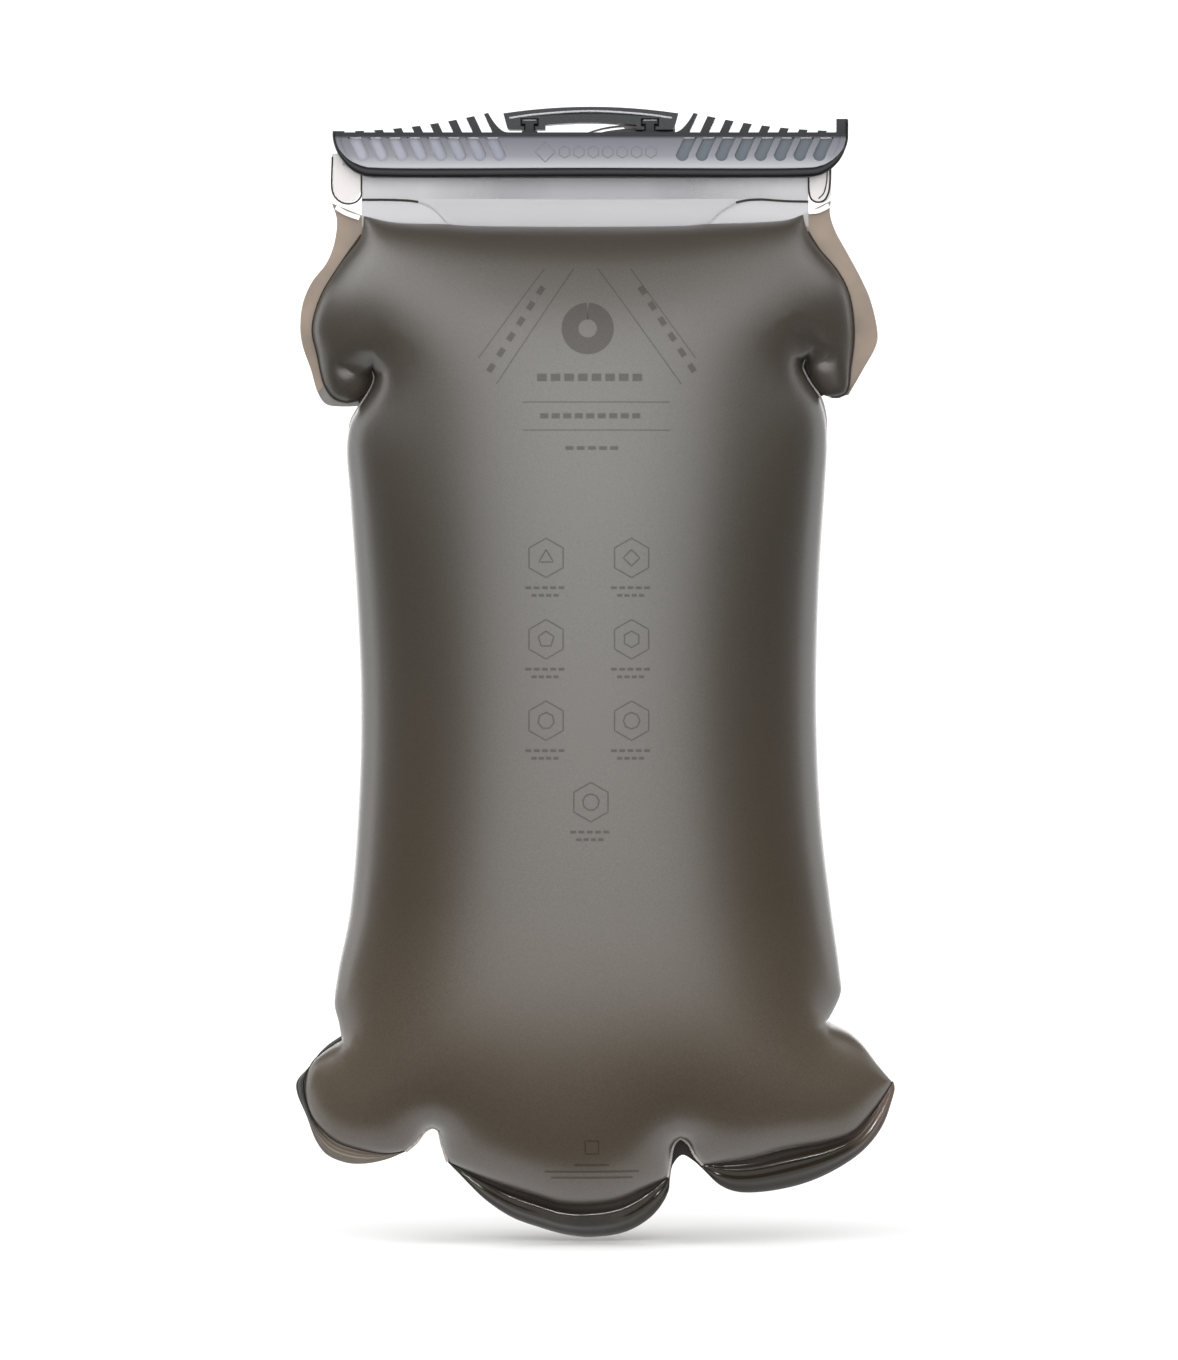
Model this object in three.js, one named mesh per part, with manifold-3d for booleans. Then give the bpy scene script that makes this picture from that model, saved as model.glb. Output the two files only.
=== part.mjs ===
// Hydration bladder: a welded film bag with a folded mouth, a slide clip with a carry handle,
// and a valved quick-release port on the back. Millimetres, +X right, +Y back, +Z up.
// Heights below are measured from the lowest point of the bag; the group is then placed so that
// its origin is the point under the handle's arch where a hook carries the bladder.
import * as THREE from "three";
import { mergeVertices } from "three/addons/utils/BufferGeometryUtils.js";
import Module from "manifold-3d";

const wasm = await Module();
wasm.setup();

// --- driving dimensions -------------------------------------------------------------------
const FILM = 0.6; // thickness the films are drawn at
const GAP = 0.3; // air left between pieces that touch
const BAG_DEPTH = 43; // how far each panel bulges when the bag is full
const BAG_TOP = 323.2; // where the tinted panels end and the clear neck begins
const SEAM = 4; // width of the flat weld round the bag

const FOLD_Y = 1.2; // centre plane of the folded mouth, the clip and the handle
const FOLD_Z = 348; // height of the fold's centre
const NECK_LEFT = -73.3;
const NECK_RIGHT = 69.6;
const LIP_Z = 332; // lower edge of the folded mouth
const TONGUE_Z = 324.2; // lower edge of the tongue in the middle of the folded mouth

const CLIP_LEFT = -82.5;
const CLIP_RIGHT = 82;
const CLIP_BOTTOM = 339.2;
const CLIP_TOP = 353.5;
const CLIP_DEPTH = 12.7;
const CLIP_WALL = 2;
const CLIP_ROOF = 1.6;
const CLIP_CORNER = 14;
const LIP_HEIGHT = 3.4; // height of the inward lips that hold the rails
const LIP_OPENING = 4.7; // gap between the two lips
const BEAD = 0.8; // how far the bottom bead stands out
const BEAD_HEIGHT = 3.2;
const SLOT_WIDTH = 4.1;
const FIN_GAP = 3.4; // width of the gaps between the fins, above the slots
const FIN_SHIFT = 0.6; // how far the gaps lie outside their slots
const SLOT_BOTTOM = 344.3;
const SLOT_PITCH = 6.25;
const SLOT_COUNT = 8;
const SLOT_START = 29.2; // distance of the innermost slot's foot from the middle
const SLOT_LEAN = Math.tan(THREE.MathUtils.degToRad(25));
const FIN_INNER = 32.8; // tip of the tallest fin
const FIN_TOP = 359.7;
const HORN_TOP = 357.8;
const HORN_WIDTH = 3.6;

const POST_X = [-19.6, 18.9]; // the two posts that hold the handle
const POST_HEAD = 5;
const POST_STEM = 2.6;
const POST_DEPTH = 4;
const HANDLE_HALF = 28;
const HANDLE_CREST = 361.9;
const HANDLE_END_TOP = 359.8;
const HANDLE_SOFFIT = 356.8;
const HANDLE_FOOT = 354.6;
const HANDLE_FOOT_INNER = 14.5; // half the gap between the handle's two feet
const HANDLE_DEPTH = 6.4;
const HANDLE_BAND = 1.6; // height of the hollow band along the handle's faces

const PORT_Z = 74; // height of the port on the back panel
const FLANGE_R = 16;
const NECK_R = 7.4;
const BARREL_R = 8.5;
const BARREL_Y = 15.4; // distance of the barrel's axis from the flange
const BARREL_TOP = 16;
const BARREL_BOTTOM = -13;
const SOCKET_R = 4.6;
const CHAMBER_R = 5.6;
const CHAMBER_TOP = -3;
const BUTTON_Z = 9.5;
const FLANGE_INSET = 4.2; // how far the film over the port lies outside the flange's inner face
const SPRING_PLAY = 0.7; // air at each end of the valve spring
const POPPET_HEIGHT = 1.6;

// --- materials ----------------------------------------------------------------------------
const paint = (color, roughness, extra = {}) =>
  new THREE.MeshStandardMaterial({ color, roughness, metalness: 0, ...extra });
const smokeFilm = paint(0x6f675c, 0.5);
const clearFilm = paint(0xd9dade, 0.3, { transparent: true, opacity: 0.5 });
const darkPlastic = paint(0x3a3c41, 0.45);
const handleRubber = paint(0x3d3e41, 0.55);
const tintedFilm = paint(0x8d6f68, 0.4);
const portPlastic = paint(0x2b2c2f, 0.4);
const buttonPlastic = paint(0x4a4c52, 0.45);
const sealRubber = paint(0x161616, 0.7);
const springSteel = paint(0xb8babd, 0.3, { metalness: 1 });

// --- solids -------------------------------------------------------------------------------
const root = new THREE.Group();
root.position.set(0, -FOLD_Y, -HANDLE_SOFFIT);

// A closed geometry as a manifold solid.
function solid(geometry) {
  const bare = geometry.clone();
  bare.deleteAttribute("normal");
  bare.deleteAttribute("uv");
  const merged = mergeVertices(bare, 1e-4);
  return new wasm.Manifold(
    new wasm.Mesh({
      numProp: 3,
      vertProperties: new Float32Array(merged.attributes.position.array),
      triVerts: new Uint32Array(merged.index.array),
    }),
  );
}

// A manifold solid as a geometry.
function geometryOf(manifold) {
  const mesh = manifold.getMesh();
  const geometry = new THREE.BufferGeometry();
  geometry.setAttribute("position", new THREE.Float32BufferAttribute(mesh.vertProperties, 3));
  geometry.setIndex(new THREE.BufferAttribute(mesh.triVerts, 1));
  geometry.computeVertexNormals();
  return geometry;
}

function add(name, shape, material, group = root) {
  const geometry = shape.isBufferGeometry ? shape : geometryOf(shape);
  const mesh = new THREE.Mesh(geometry, material);
  mesh.name = name;
  group.add(mesh);
  return mesh;
}

function shapeOf(points) {
  return new THREE.Shape(points.map(([a, b]) => new THREE.Vector2(a, b)));
}

// An outline drawn in X and Z, extruded from yFront to yBack.
function plate(shape, yFront, yBack, curveSegments = 8) {
  const options = { depth: yBack - yFront, bevelEnabled: false, curveSegments };
  const geometry = new THREE.ExtrudeGeometry(shape, options);
  return geometry.rotateX(Math.PI / 2).translate(0, yBack, 0);
}

// A section drawn in Y and Z, extruded from xLeft to xRight.
function bar(shape, xLeft, xRight, curveSegments = 8) {
  const options = { depth: xRight - xLeft, bevelEnabled: false, curveSegments };
  const geometry = new THREE.ExtrudeGeometry(shape, options);
  const toY = new THREE.Vector3(0, 1, 0);
  const toZ = new THREE.Vector3(0, 0, 1);
  const toX = new THREE.Vector3(1, 0, 0);
  const turn = new THREE.Matrix4().makeBasis(toY, toZ, toX);
  return geometry.applyMatrix4(turn).translate(xLeft, 0, 0);
}

function block(x0, x1, y0, y1, z0, z1) {
  const geometry = new THREE.BoxGeometry(x1 - x0, y1 - y0, z1 - z0);
  return geometry.translate((x0 + x1) / 2, (y0 + y1) / 2, (z0 + z1) / 2);
}

// A cylinder along Y or Z, from one end to the other.
function rod(axis, radius, start, end, sides = 32) {
  const geometry = new THREE.CylinderGeometry(radius, radius, end - start, sides);
  const middle = (start + end) / 2;
  if (axis === "y") return geometry.translate(0, middle, 0);
  return geometry.rotateX(Math.PI / 2).translate(0, 0, middle);
}

// --- bag ----------------------------------------------------------------------------------
function curve(points) {
  const inPlane = points.map(([x, z]) => new THREE.Vector3(x, 0, z));
  return new THREE.CatmullRomCurve3(inPlane, false, "centripetal");
}

const leftEdge = curve([
  [-94.3, 48], [-87, 58], [-79.5, 65], [-81.8, 75], [-77.3, 105], [-73.7, 160],
  [-75.7, 216], [-78, 252], [-77, 263], [-87, 269], [-93, 291], [-86, 310], [-79, BAG_TOP],
]);
const rightEdge = curve([
  [97.3, 48], [88, 61], [76.5, 69.4], [80, 80], [76.2, 112], [72.2, 160],
  [73, 211], [75.5, 252], [74, 266], [85.5, 274], [91.8, 289], [84, 311], [76, BAG_TOP],
]);
const bottomEdge = curve([
  [-94.3, 48], [-89, 33], [-76, 23.8], [-60, 27.6], [-50.9, 35], [-45, 23], [-30, 9.4], [-12, 1.6],
  [6, 0.6], [20, 7.4], [29.4, 26], [41, 17], [54, 14.4], [79, 22], [93.4, 35.8], [97.3, 48],
]);

// A point of the flat outline, blended from its four edges.
function outlinePoint(u, v) {
  const low = bottomEdge.getPointAt(u);
  const left = leftEdge.getPointAt(v);
  const right = rightEdge.getPointAt(v);
  const lowCorner = bottomEdge.getPointAt(0).lerp(bottomEdge.getPointAt(1), u);
  const side = new THREE.Vector3().lerpVectors(left, right, u);
  return side.addScaledVector(low.sub(lowCorner), 1 - v);
}

// How far the film stands off the seam plane: flat on the weld, full in the middle.
function bulge(u, v) {
  const across = Math.sin(Math.PI * u);
  const upward = Math.min(1, Math.sin(Math.PI * v) * 2.2);
  return BAG_DEPTH * Math.sqrt(Math.max(across, 0)) * Math.pow(Math.max(upward, 0), 0.6);
}

// Grid stations: the outer edge, the inner edge of the weld, then cosine steps to the other side.
function stations(count, weld) {
  const inner = Array.from({ length: count + 1 }, (_, i) => {
    const step = (1 - Math.cos((Math.PI * i) / count)) / 2;
    return { at: weld + (1 - 2 * weld) * step, rise: step };
  });
  return [{ at: 0, rise: 0 }, ...inner, { at: 1, rise: 0 }];
}

// One panel: an outer skin, an inner skin one film thickness inside it, and the rim between them.
function panel(side) {
  const across = stations(22, SEAM / 170);
  const upward = stations(24, SEAM / 330);
  const columns = across.length;
  const outer = [];
  for (const row of upward)
    for (const column of across) {
      const point = outlinePoint(column.at, row.at);
      point.y = -(GAP / 2 + FILM + bulge(column.rise, row.rise));
      outer.push(point);
    }
  const at = (i, j) => outer[j * columns + i];
  const inner = outer.map((point, index) => {
    const i = index % columns;
    const j = Math.floor(index / columns);
    const onWeld = i < 2 || j < 2 || i > columns - 3 || j > upward.length - 3;
    if (onWeld) return point.clone().setY(-GAP / 2);
    const alongX = at(i + 1, j).clone().sub(at(i - 1, j));
    const alongZ = at(i, j + 1).clone().sub(at(i, j - 1));
    const inward = alongZ.cross(alongX).normalize();
    return point.clone().addScaledVector(inward, FILM);
  });
  const last = outer.length;
  const faces = [];
  const quad = (a, b, c, d) => faces.push(a, b, c, a, c, d);
  for (let j = 0; j + 1 < upward.length; j++)
    for (let i = 0; i + 1 < columns; i++) {
      const a = j * columns + i;
      quad(a, a + 1, a + columns + 1, a + columns);
      quad(last + a, last + a + columns, last + a + columns + 1, last + a + 1);
    }
  const rim = [];
  for (let i = 0; i + 1 < columns; i++) rim.push(i);
  for (let j = 0; j + 1 < upward.length; j++) rim.push(j * columns + columns - 1);
  for (let i = columns - 1; i > 0; i--) rim.push((upward.length - 1) * columns + i);
  for (let j = upward.length - 1; j > 0; j--) rim.push(j * columns);
  rim.forEach((a, k) => {
    const b = rim[(k + 1) % rim.length];
    quad(a, last + a, last + b, b);
  });
  const geometry = new THREE.BufferGeometry().setFromPoints([...outer, ...inner]);
  if (side === "back") {
    geometry.scale(1, -1, 1);
    faces.reverse();
  }
  geometry.setIndex(faces);
  geometry.computeVertexNormals();
  return geometry;
}

const backFilmY = GAP / 2 + FILM + bulge(0.5, 0.5); // outside of the full back panel

// --- folded mouth -------------------------------------------------------------------------
// A film that rises from the bag, turns over the fold at the given radius and hangs down behind.
function foldedFilm(innerRadius, endZ) {
  const outerRadius = innerRadius + FILM;
  const section = new THREE.Shape();
  section.moveTo(FOLD_Y - outerRadius, BAG_TOP + GAP);
  section.lineTo(FOLD_Y - innerRadius, BAG_TOP + GAP);
  section.lineTo(FOLD_Y - innerRadius, FOLD_Z);
  section.absarc(FOLD_Y, FOLD_Z, innerRadius, Math.PI, 0, true);
  section.lineTo(FOLD_Y + innerRadius, endZ);
  section.lineTo(FOLD_Y + outerRadius, endZ);
  section.lineTo(FOLD_Y + outerRadius, FOLD_Z);
  section.absarc(FOLD_Y, FOLD_Z, outerRadius, 0, Math.PI, false);
  return bar(section, NECK_LEFT, NECK_RIGHT);
}

const OUTER_FOLD_R = FOLD_Y + GAP / 2;
const INNER_FOLD_R = OUTER_FOLD_R - FILM - GAP;

// The front film carries the tongue that is gripped to open the mouth.
function neckFrontFilm() {
  const y = FOLD_Y + OUTER_FOLD_R;
  const tongue = shapeOf([
    [-55, LIP_Z + 2],
    [-55, LIP_Z],
    [-42, TONGUE_Z],
    [36.5, TONGUE_Z],
    [50, LIP_Z],
    [50, LIP_Z + 2],
  ]);
  return solid(foldedFilm(OUTER_FOLD_R, LIP_Z)).add(solid(plate(tongue, y, y + FILM)));
}

const RAIL_Z = CLIP_BOTTOM + LIP_HEIGHT + 0.4;
const RAIL_HEIGHT = 4;
const RAIL_THICK = 1.7;
const RAIL_OFFSET = OUTER_FOLD_R + FILM + GAP; // from the fold's centre plane to a rail

// A stiff strip welded along the mouth, on the side given by sign; the clip's lips catch under it.
function rail(sign) {
  const near = FOLD_Y + sign * RAIL_OFFSET;
  const far = near + sign * RAIL_THICK;
  const low = Math.min(near, far);
  return block(-79.5, 77.5, low, low + RAIL_THICK, RAIL_Z, RAIL_Z + RAIL_HEIGHT);
}

// A clear tab with a round foot at the end of the mouth, where the side weld stops.
function endTab(left, right) {
  const radius = (right - left) / 2;
  const foot = 331.2 + radius;
  const outline = new THREE.Shape();
  outline.moveTo(left, FOLD_Z - 1);
  outline.lineTo(left, foot);
  outline.absarc((left + right) / 2, foot, radius, Math.PI, 2 * Math.PI, false);
  outline.lineTo(right, FOLD_Z - 1);
  return plate(outline, -GAP / 2 - FILM, GAP / 2 + FILM);
}

// --- slide clip ---------------------------------------------------------------------------
const clipFront = FOLD_Y - CLIP_DEPTH / 2;
const clipBack = FOLD_Y + CLIP_DEPTH / 2;

// The clip seen from the front: round bottom corners, rising fins, a horn on the closed end.
function clipOutline() {
  const outline = new THREE.Shape();
  const cornerZ = CLIP_BOTTOM + CLIP_CORNER;
  outline.moveTo(CLIP_LEFT, CLIP_TOP + 0.4);
  outline.lineTo(CLIP_LEFT, cornerZ);
  outline.absarc(CLIP_LEFT + CLIP_CORNER, cornerZ, CLIP_CORNER, Math.PI, 1.5 * Math.PI);
  outline.lineTo(CLIP_RIGHT - CLIP_CORNER, CLIP_BOTTOM);
  outline.absarc(CLIP_RIGHT - CLIP_CORNER, cornerZ, CLIP_CORNER, 1.5 * Math.PI, 2 * Math.PI);
  outline.lineTo(CLIP_RIGHT, HORN_TOP);
  outline.lineTo(CLIP_RIGHT - HORN_WIDTH, HORN_TOP);
  outline.lineTo(CLIP_RIGHT - HORN_WIDTH, CLIP_TOP + 0.4);
  outline.quadraticCurveTo(55, 354.4, FIN_INNER, FIN_TOP);
  outline.quadraticCurveTo(29.4, CLIP_TOP, 26.5, CLIP_TOP);
  outline.lineTo(-26.5, CLIP_TOP);
  outline.quadraticCurveTo(-29.4, CLIP_TOP, -FIN_INNER, FIN_TOP);
  outline.quadraticCurveTo(-55, 354.4, -75.5, CLIP_TOP + 0.4);
  return outline;
}

// The bead that runs down one end, along the bottom and up the other end.
function beadOutline() {
  const outline = new THREE.Shape();
  const innerRadius = CLIP_CORNER - BEAD_HEIGHT;
  const cornerZ = CLIP_BOTTOM + CLIP_CORNER;
  outline.moveTo(CLIP_LEFT, cornerZ);
  outline.absarc(CLIP_LEFT + CLIP_CORNER, cornerZ, CLIP_CORNER, Math.PI, 1.5 * Math.PI);
  outline.absarc(CLIP_RIGHT - CLIP_CORNER, cornerZ, CLIP_CORNER, 1.5 * Math.PI, 2 * Math.PI);
  outline.lineTo(CLIP_RIGHT - 1, cornerZ);
  outline.absarc(CLIP_RIGHT - CLIP_CORNER, cornerZ, innerRadius + 1, 0, -0.5 * Math.PI, true);
  outline.absarc(CLIP_LEFT + CLIP_CORNER, cornerZ, innerRadius + 1, 1.5 * Math.PI, Math.PI, true);
  return outline;
}

// The hollow the folded mouth runs in, wide above the lips and narrow between them.
function channel() {
  const half = CLIP_DEPTH / 2 - CLIP_WALL;
  const mouth = LIP_OPENING / 2;
  const lipTop = CLIP_BOTTOM + LIP_HEIGHT;
  const section = shapeOf([
    [FOLD_Y - mouth, CLIP_BOTTOM - 3],
    [FOLD_Y + mouth, CLIP_BOTTOM - 3],
    [FOLD_Y + mouth, lipTop],
    [FOLD_Y + half, lipTop],
    [FOLD_Y + half, CLIP_TOP - CLIP_ROOF],
    [FOLD_Y - half, CLIP_TOP - CLIP_ROOF],
    [FOLD_Y - half, lipTop],
    [FOLD_Y - mouth, lipTop],
  ]);
  return bar(section, CLIP_LEFT - 5, CLIP_RIGHT - 2.5);
}

// A leaning slot through the clip: sign is -1 on the left, where it leans left, and 1 on the right.
function leaningSlot(foot, sign, width, zLow, zHigh, roundFoot) {
  const half = width / 2;
  const footZ = SLOT_BOTTOM + SLOT_WIDTH / 2;
  const low = foot + sign * SLOT_LEAN * (zLow - footZ);
  const high = foot + sign * SLOT_LEAN * (zHigh - footZ);
  const outline = new THREE.Shape();
  outline.moveTo(high + half, zHigh);
  outline.lineTo(high - half, zHigh);
  outline.lineTo(low - half, zLow);
  if (roundFoot) outline.absarc(low, zLow, half, Math.PI, 2 * Math.PI, false);
  else outline.lineTo(low + half, zLow);
  return plate(outline, clipFront - 5, clipBack + 5, 5);
}

// A post with a wide head that the handle's end hooks under.
function handlePost(x) {
  const right = [
    [POST_HEAD / 2, CLIP_TOP - 0.5],
    [POST_HEAD / 2, CLIP_TOP + 0.8],
    [POST_STEM / 2, CLIP_TOP + 0.8],
    [POST_STEM / 2, CLIP_TOP + 3.1],
    [POST_HEAD / 2, CLIP_TOP + 3.1],
    [POST_HEAD / 2, CLIP_TOP + 4.3],
  ];
  const left = right.map(([out, z]) => [-out, z]).reverse();
  const outline = shapeOf([...right, ...left].map(([out, z]) => [x + out, z]));
  return plate(outline, FOLD_Y - POST_DEPTH / 2, FOLD_Y + POST_DEPTH / 2);
}

function slideClip() {
  let clip = solid(plate(clipOutline(), clipFront, clipBack, 10));
  const bead = beadOutline();
  clip = clip.add(solid(plate(bead, clipFront - BEAD, clipFront + 1, 10)));
  clip = clip.add(solid(plate(bead, clipBack - 1, clipBack + BEAD, 10)));
  clip = clip.subtract(solid(channel()));
  const footZ = SLOT_BOTTOM + SLOT_WIDTH / 2;
  for (const sign of [-1, 1])
    for (let i = 0; i < SLOT_COUNT; i++) {
      const foot = sign * (SLOT_START + i * SLOT_PITCH);
      const above = foot + sign * FIN_SHIFT;
      const window = leaningSlot(foot, sign, SLOT_WIDTH, footZ, CLIP_TOP - CLIP_ROOF, true);
      const gap = leaningSlot(above, sign, FIN_GAP, CLIP_TOP, FIN_TOP + 1, false);
      clip = clip.subtract(solid(window)).subtract(solid(gap));
    }
  const hornLeft = CLIP_RIGHT - HORN_WIDTH;
  const horn = block(hornLeft, CLIP_RIGHT, clipFront, clipBack, CLIP_TOP - 1, HORN_TOP);
  clip = clip.add(solid(horn));
  for (const x of POST_X) clip = clip.add(solid(handlePost(x)));
  return clip;
}

// --- handle -------------------------------------------------------------------------------
// The handle seen from the front: an arch over two feet.
function handleOutline() {
  const crestControl = 2 * HANDLE_CREST - HANDLE_END_TOP;
  const outline = new THREE.Shape();
  outline.moveTo(-HANDLE_HALF, HANDLE_END_TOP);
  outline.lineTo(1.2 - HANDLE_HALF, HANDLE_FOOT + 0.8);
  outline.quadraticCurveTo(1.5 - HANDLE_HALF, HANDLE_FOOT, 2.6 - HANDLE_HALF, HANDLE_FOOT);
  outline.lineTo(-HANDLE_FOOT_INNER, HANDLE_FOOT);
  outline.lineTo(-HANDLE_FOOT_INNER, HANDLE_SOFFIT - 0.7);
  outline.quadraticCurveTo(0, HANDLE_SOFFIT + 0.7, HANDLE_FOOT_INNER, HANDLE_SOFFIT - 0.7);
  outline.lineTo(HANDLE_FOOT_INNER, HANDLE_FOOT);
  outline.lineTo(HANDLE_HALF - 2.6, HANDLE_FOOT);
  outline.quadraticCurveTo(HANDLE_HALF - 1.5, HANDLE_FOOT, HANDLE_HALF - 1.2, HANDLE_FOOT + 0.8);
  outline.lineTo(HANDLE_HALF, HANDLE_END_TOP);
  outline.quadraticCurveTo(0, crestControl, -HANDLE_HALF, HANDLE_END_TOP);
  return outline;
}

// The hollow band under the handle's upper edge.
function handleBand() {
  const top = HANDLE_END_TOP - HANDLE_BAND;
  const crestControl = 2 * HANDLE_CREST - HANDLE_END_TOP - HANDLE_BAND;
  const band = new THREE.Shape();
  band.moveTo(3 - HANDLE_HALF, top);
  band.quadraticCurveTo(0, crestControl, HANDLE_HALF - 3, top);
  band.quadraticCurveTo(0, crestControl - HANDLE_BAND, 3 - HANDLE_HALF, top);
  return band;
}

// The arched handle: a foot at each end hooks under a post's head, and both faces are hollowed.
function handle() {
  const front = FOLD_Y - HANDLE_DEPTH / 2;
  const back = FOLD_Y + HANDLE_DEPTH / 2;
  const pocketBack = FOLD_Y + POST_DEPTH / 2 + 0.4;
  const stemHalf = POST_STEM / 2 + 0.5;
  const headHalf = POST_HEAD / 2 + 0.4;
  let body = solid(plate(handleOutline(), front, back, 12));
  body = body.subtract(solid(plate(handleBand(), front - 1, front + 1, 12)));
  body = body.subtract(solid(plate(handleBand(), back - 1, back + 1, 12)));
  for (const x of POST_X) {
    const stemTop = CLIP_TOP + 3;
    const stem = block(x - stemHalf, x + stemHalf, front - 1, pocketBack, HANDLE_FOOT - 1, stemTop);
    const head = block(x - headHalf, x + headHalf, front - 1, pocketBack, stemTop - 0.9, stemTop + 1.7);
    body = body.subtract(solid(stem)).subtract(solid(head));
  }
  return body;
}

// A thin strap of tinted film that lies in a low arch on the clip, behind the handle.
function hangStrap() {
  const ribbon = new THREE.Shape();
  const low = CLIP_TOP + GAP;
  ribbon.moveTo(-2, low);
  ribbon.quadraticCurveTo(11, low + 5.4, 25, low);
  ribbon.lineTo(23.8, low);
  ribbon.quadraticCurveTo(11, low + 4.2, -0.6, low);
  const front = FOLD_Y + HANDLE_DEPTH / 2 + GAP;
  return plate(ribbon, front, clipBack - 0.2, 10);
}

// --- port ---------------------------------------------------------------------------------
// Port pieces are drawn with the flange's inner face at y = 0 and the barrel along Z.
const port = new THREE.Group();
port.position.set(0, backFilmY - FILM - FLANGE_INSET, PORT_Z);
root.add(port);

const upright = (geometry) => geometry.translate(0, BARREL_Y, 0);

// The moulding: a flange welded inside the film, a neck through it, and the barrel with its bores.
function portHousing() {
  let body = solid(rod("y", FLANGE_R, 0, 1.6, 40));
  body = body.add(solid(rod("y", NECK_R, 1, BARREL_Y, 32)));
  body = body.add(solid(upright(rod("z", BARREL_R, BARREL_BOTTOM, BARREL_TOP, 32))));
  body = body.subtract(solid(upright(rod("z", SOCKET_R, CHAMBER_TOP - 1, BARREL_TOP + 1, 32))));
  body = body.subtract(solid(upright(rod("z", CHAMBER_R, BARREL_BOTTOM - 1, CHAMBER_TOP, 32))));
  body = body.subtract(solid(upright(rod("z", SOCKET_R + 1.2, 0.4, 2.8, 32))));
  body = body.subtract(solid(rod("y", 3, -1, BARREL_Y, 24).translate(0, 0, -5.5)));
  const slot = block(-6.6, 6.6, BARREL_Y - 7.4, BARREL_Y + 10, BUTTON_Z - 1.3, BUTTON_Z + 1.3);
  return body.subtract(solid(slot));
}

// The plate that latches a plug in the socket, with its thumb pad outside the barrel.
function releaseButton() {
  const back = BARREL_Y + BARREL_R;
  const hole = upright(rod("z", 4.9, BUTTON_Z - 3, BUTTON_Z + 3, 32)).translate(0, 0.9, 0);
  const pad = block(-6.2, 6.2, back + 1.9, back + 4.2, BUTTON_Z - 4.4, BUTTON_Z + 4.4);
  const latch = solid(block(-6.2, 6.2, BARREL_Y - 5.4, back + 2.2, BUTTON_Z - 1, BUTTON_Z + 1));
  return latch.subtract(solid(hole)).add(solid(pad));
}

// A coil spring of round wire from one height to another; its ends are closed.
function coil(radius, wire, turns, start, end) {
  class Helix extends THREE.Curve {
    getPoint(t, target = new THREE.Vector3()) {
      const angle = 2 * Math.PI * turns * t;
      const height = start + (end - start) * t;
      return target.set(radius * Math.cos(angle), radius * Math.sin(angle), height);
    }
  }
  const section = new THREE.Shape().absarc(0, 0, wire / 2, 0, 2 * Math.PI, false);
  return new THREE.ExtrudeGeometry(section, {
    steps: Math.round(turns * 12),
    extrudePath: new Helix(),
    curveSegments: 3,
    bevelEnabled: false,
  });
}

const POPPET_TOP = CHAMBER_TOP - 1.5;
const CAP_TOP = BARREL_BOTTOM + 2.4;

// The spring that pushes the poppet up, in the well of the end cap.
function valveSpring() {
  const top = POPPET_TOP - POPPET_HEIGHT - SPRING_PLAY;
  return upright(coil(3.3, 0.6, 4, CAP_TOP + SPRING_PLAY, top));
}

// The spring that pushes the latch plate back out.
function latchSpring() {
  const spring = coil(0.8, 0.35, 3, 0.3, 1.5);
  return spring.rotateX(-Math.PI / 2).translate(0, BARREL_Y - 7.3, BUTTON_Z);
}

// A poppet that shuts the chamber's upper end; a plug pushes its stem down to open it.
function valvePoppet() {
  const top = POPPET_TOP;
  let body = solid(rod("z", 4.9, top - POPPET_HEIGHT, top, 32));
  body = body.add(solid(rod("z", 1.3, top - 4.2, top + 3.6, 16)));
  body = body.add(solid(rod("z", 2.8, top - 0.5, top + 0.9, 24)));
  return upright(geometryOf(body));
}

// A ring of round section about the barrel's axis.
function ring(radius, section, z) {
  return new THREE.TorusGeometry(radius, section / 2, 8, 28).translate(0, BARREL_Y, z);
}

// The cap that shuts the chamber's lower end, with a well that seats the valve spring.
function portEndCap() {
  let cap = solid(upright(rod("z", CHAMBER_R - GAP, BARREL_BOTTOM, CAP_TOP, 32)));
  cap = cap.add(solid(upright(rod("z", BARREL_R, BARREL_BOTTOM - 1.8, BARREL_BOTTOM - GAP, 32))));
  cap = cap.add(solid(upright(rod("z", 4.6, BARREL_BOTTOM - 1, BARREL_BOTTOM + 1, 32))));
  return cap.subtract(solid(upright(rod("z", 1.7, BARREL_BOTTOM - 0.4, BARREL_BOTTOM + 4, 16))));
}

// The ring of film welded round the port on the outside of the bag.
function portWeldRing() {
  const film = FLANGE_INSET + FILM;
  const disc = solid(rod("y", 13.5, film + GAP, film + 1.4, 40));
  return disc.subtract(solid(rod("y", NECK_R + GAP, 0, 10, 32)));
}

function backPanel() {
  const hole = rod("y", NECK_R + GAP, backFilmY - 12, backFilmY + 6, 32).translate(0, 0, PORT_Z);
  return solid(panel("back")).subtract(solid(hole));
}

// --- assembly -----------------------------------------------------------------------------
add("front_panel", panel("front"), smokeFilm);
add("back_panel", backPanel(), smokeFilm);
add("neck_front_film", neckFrontFilm(), clearFilm);
add("neck_back_film", foldedFilm(INNER_FOLD_R, LIP_Z + 0.6), clearFilm);
add("front_rail", rail(-1), clearFilm);
add("back_rail", rail(1), clearFilm);
add("end_tab_left", endTab(-82.9, NECK_LEFT - GAP), clearFilm);
add("end_tab_right", endTab(NECK_RIGHT + GAP, 77), clearFilm);

add("slide_clip", slideClip(), darkPlastic);
add("handle", handle(), handleRubber);
add("hang_strap", hangStrap(), tintedFilm);

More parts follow.
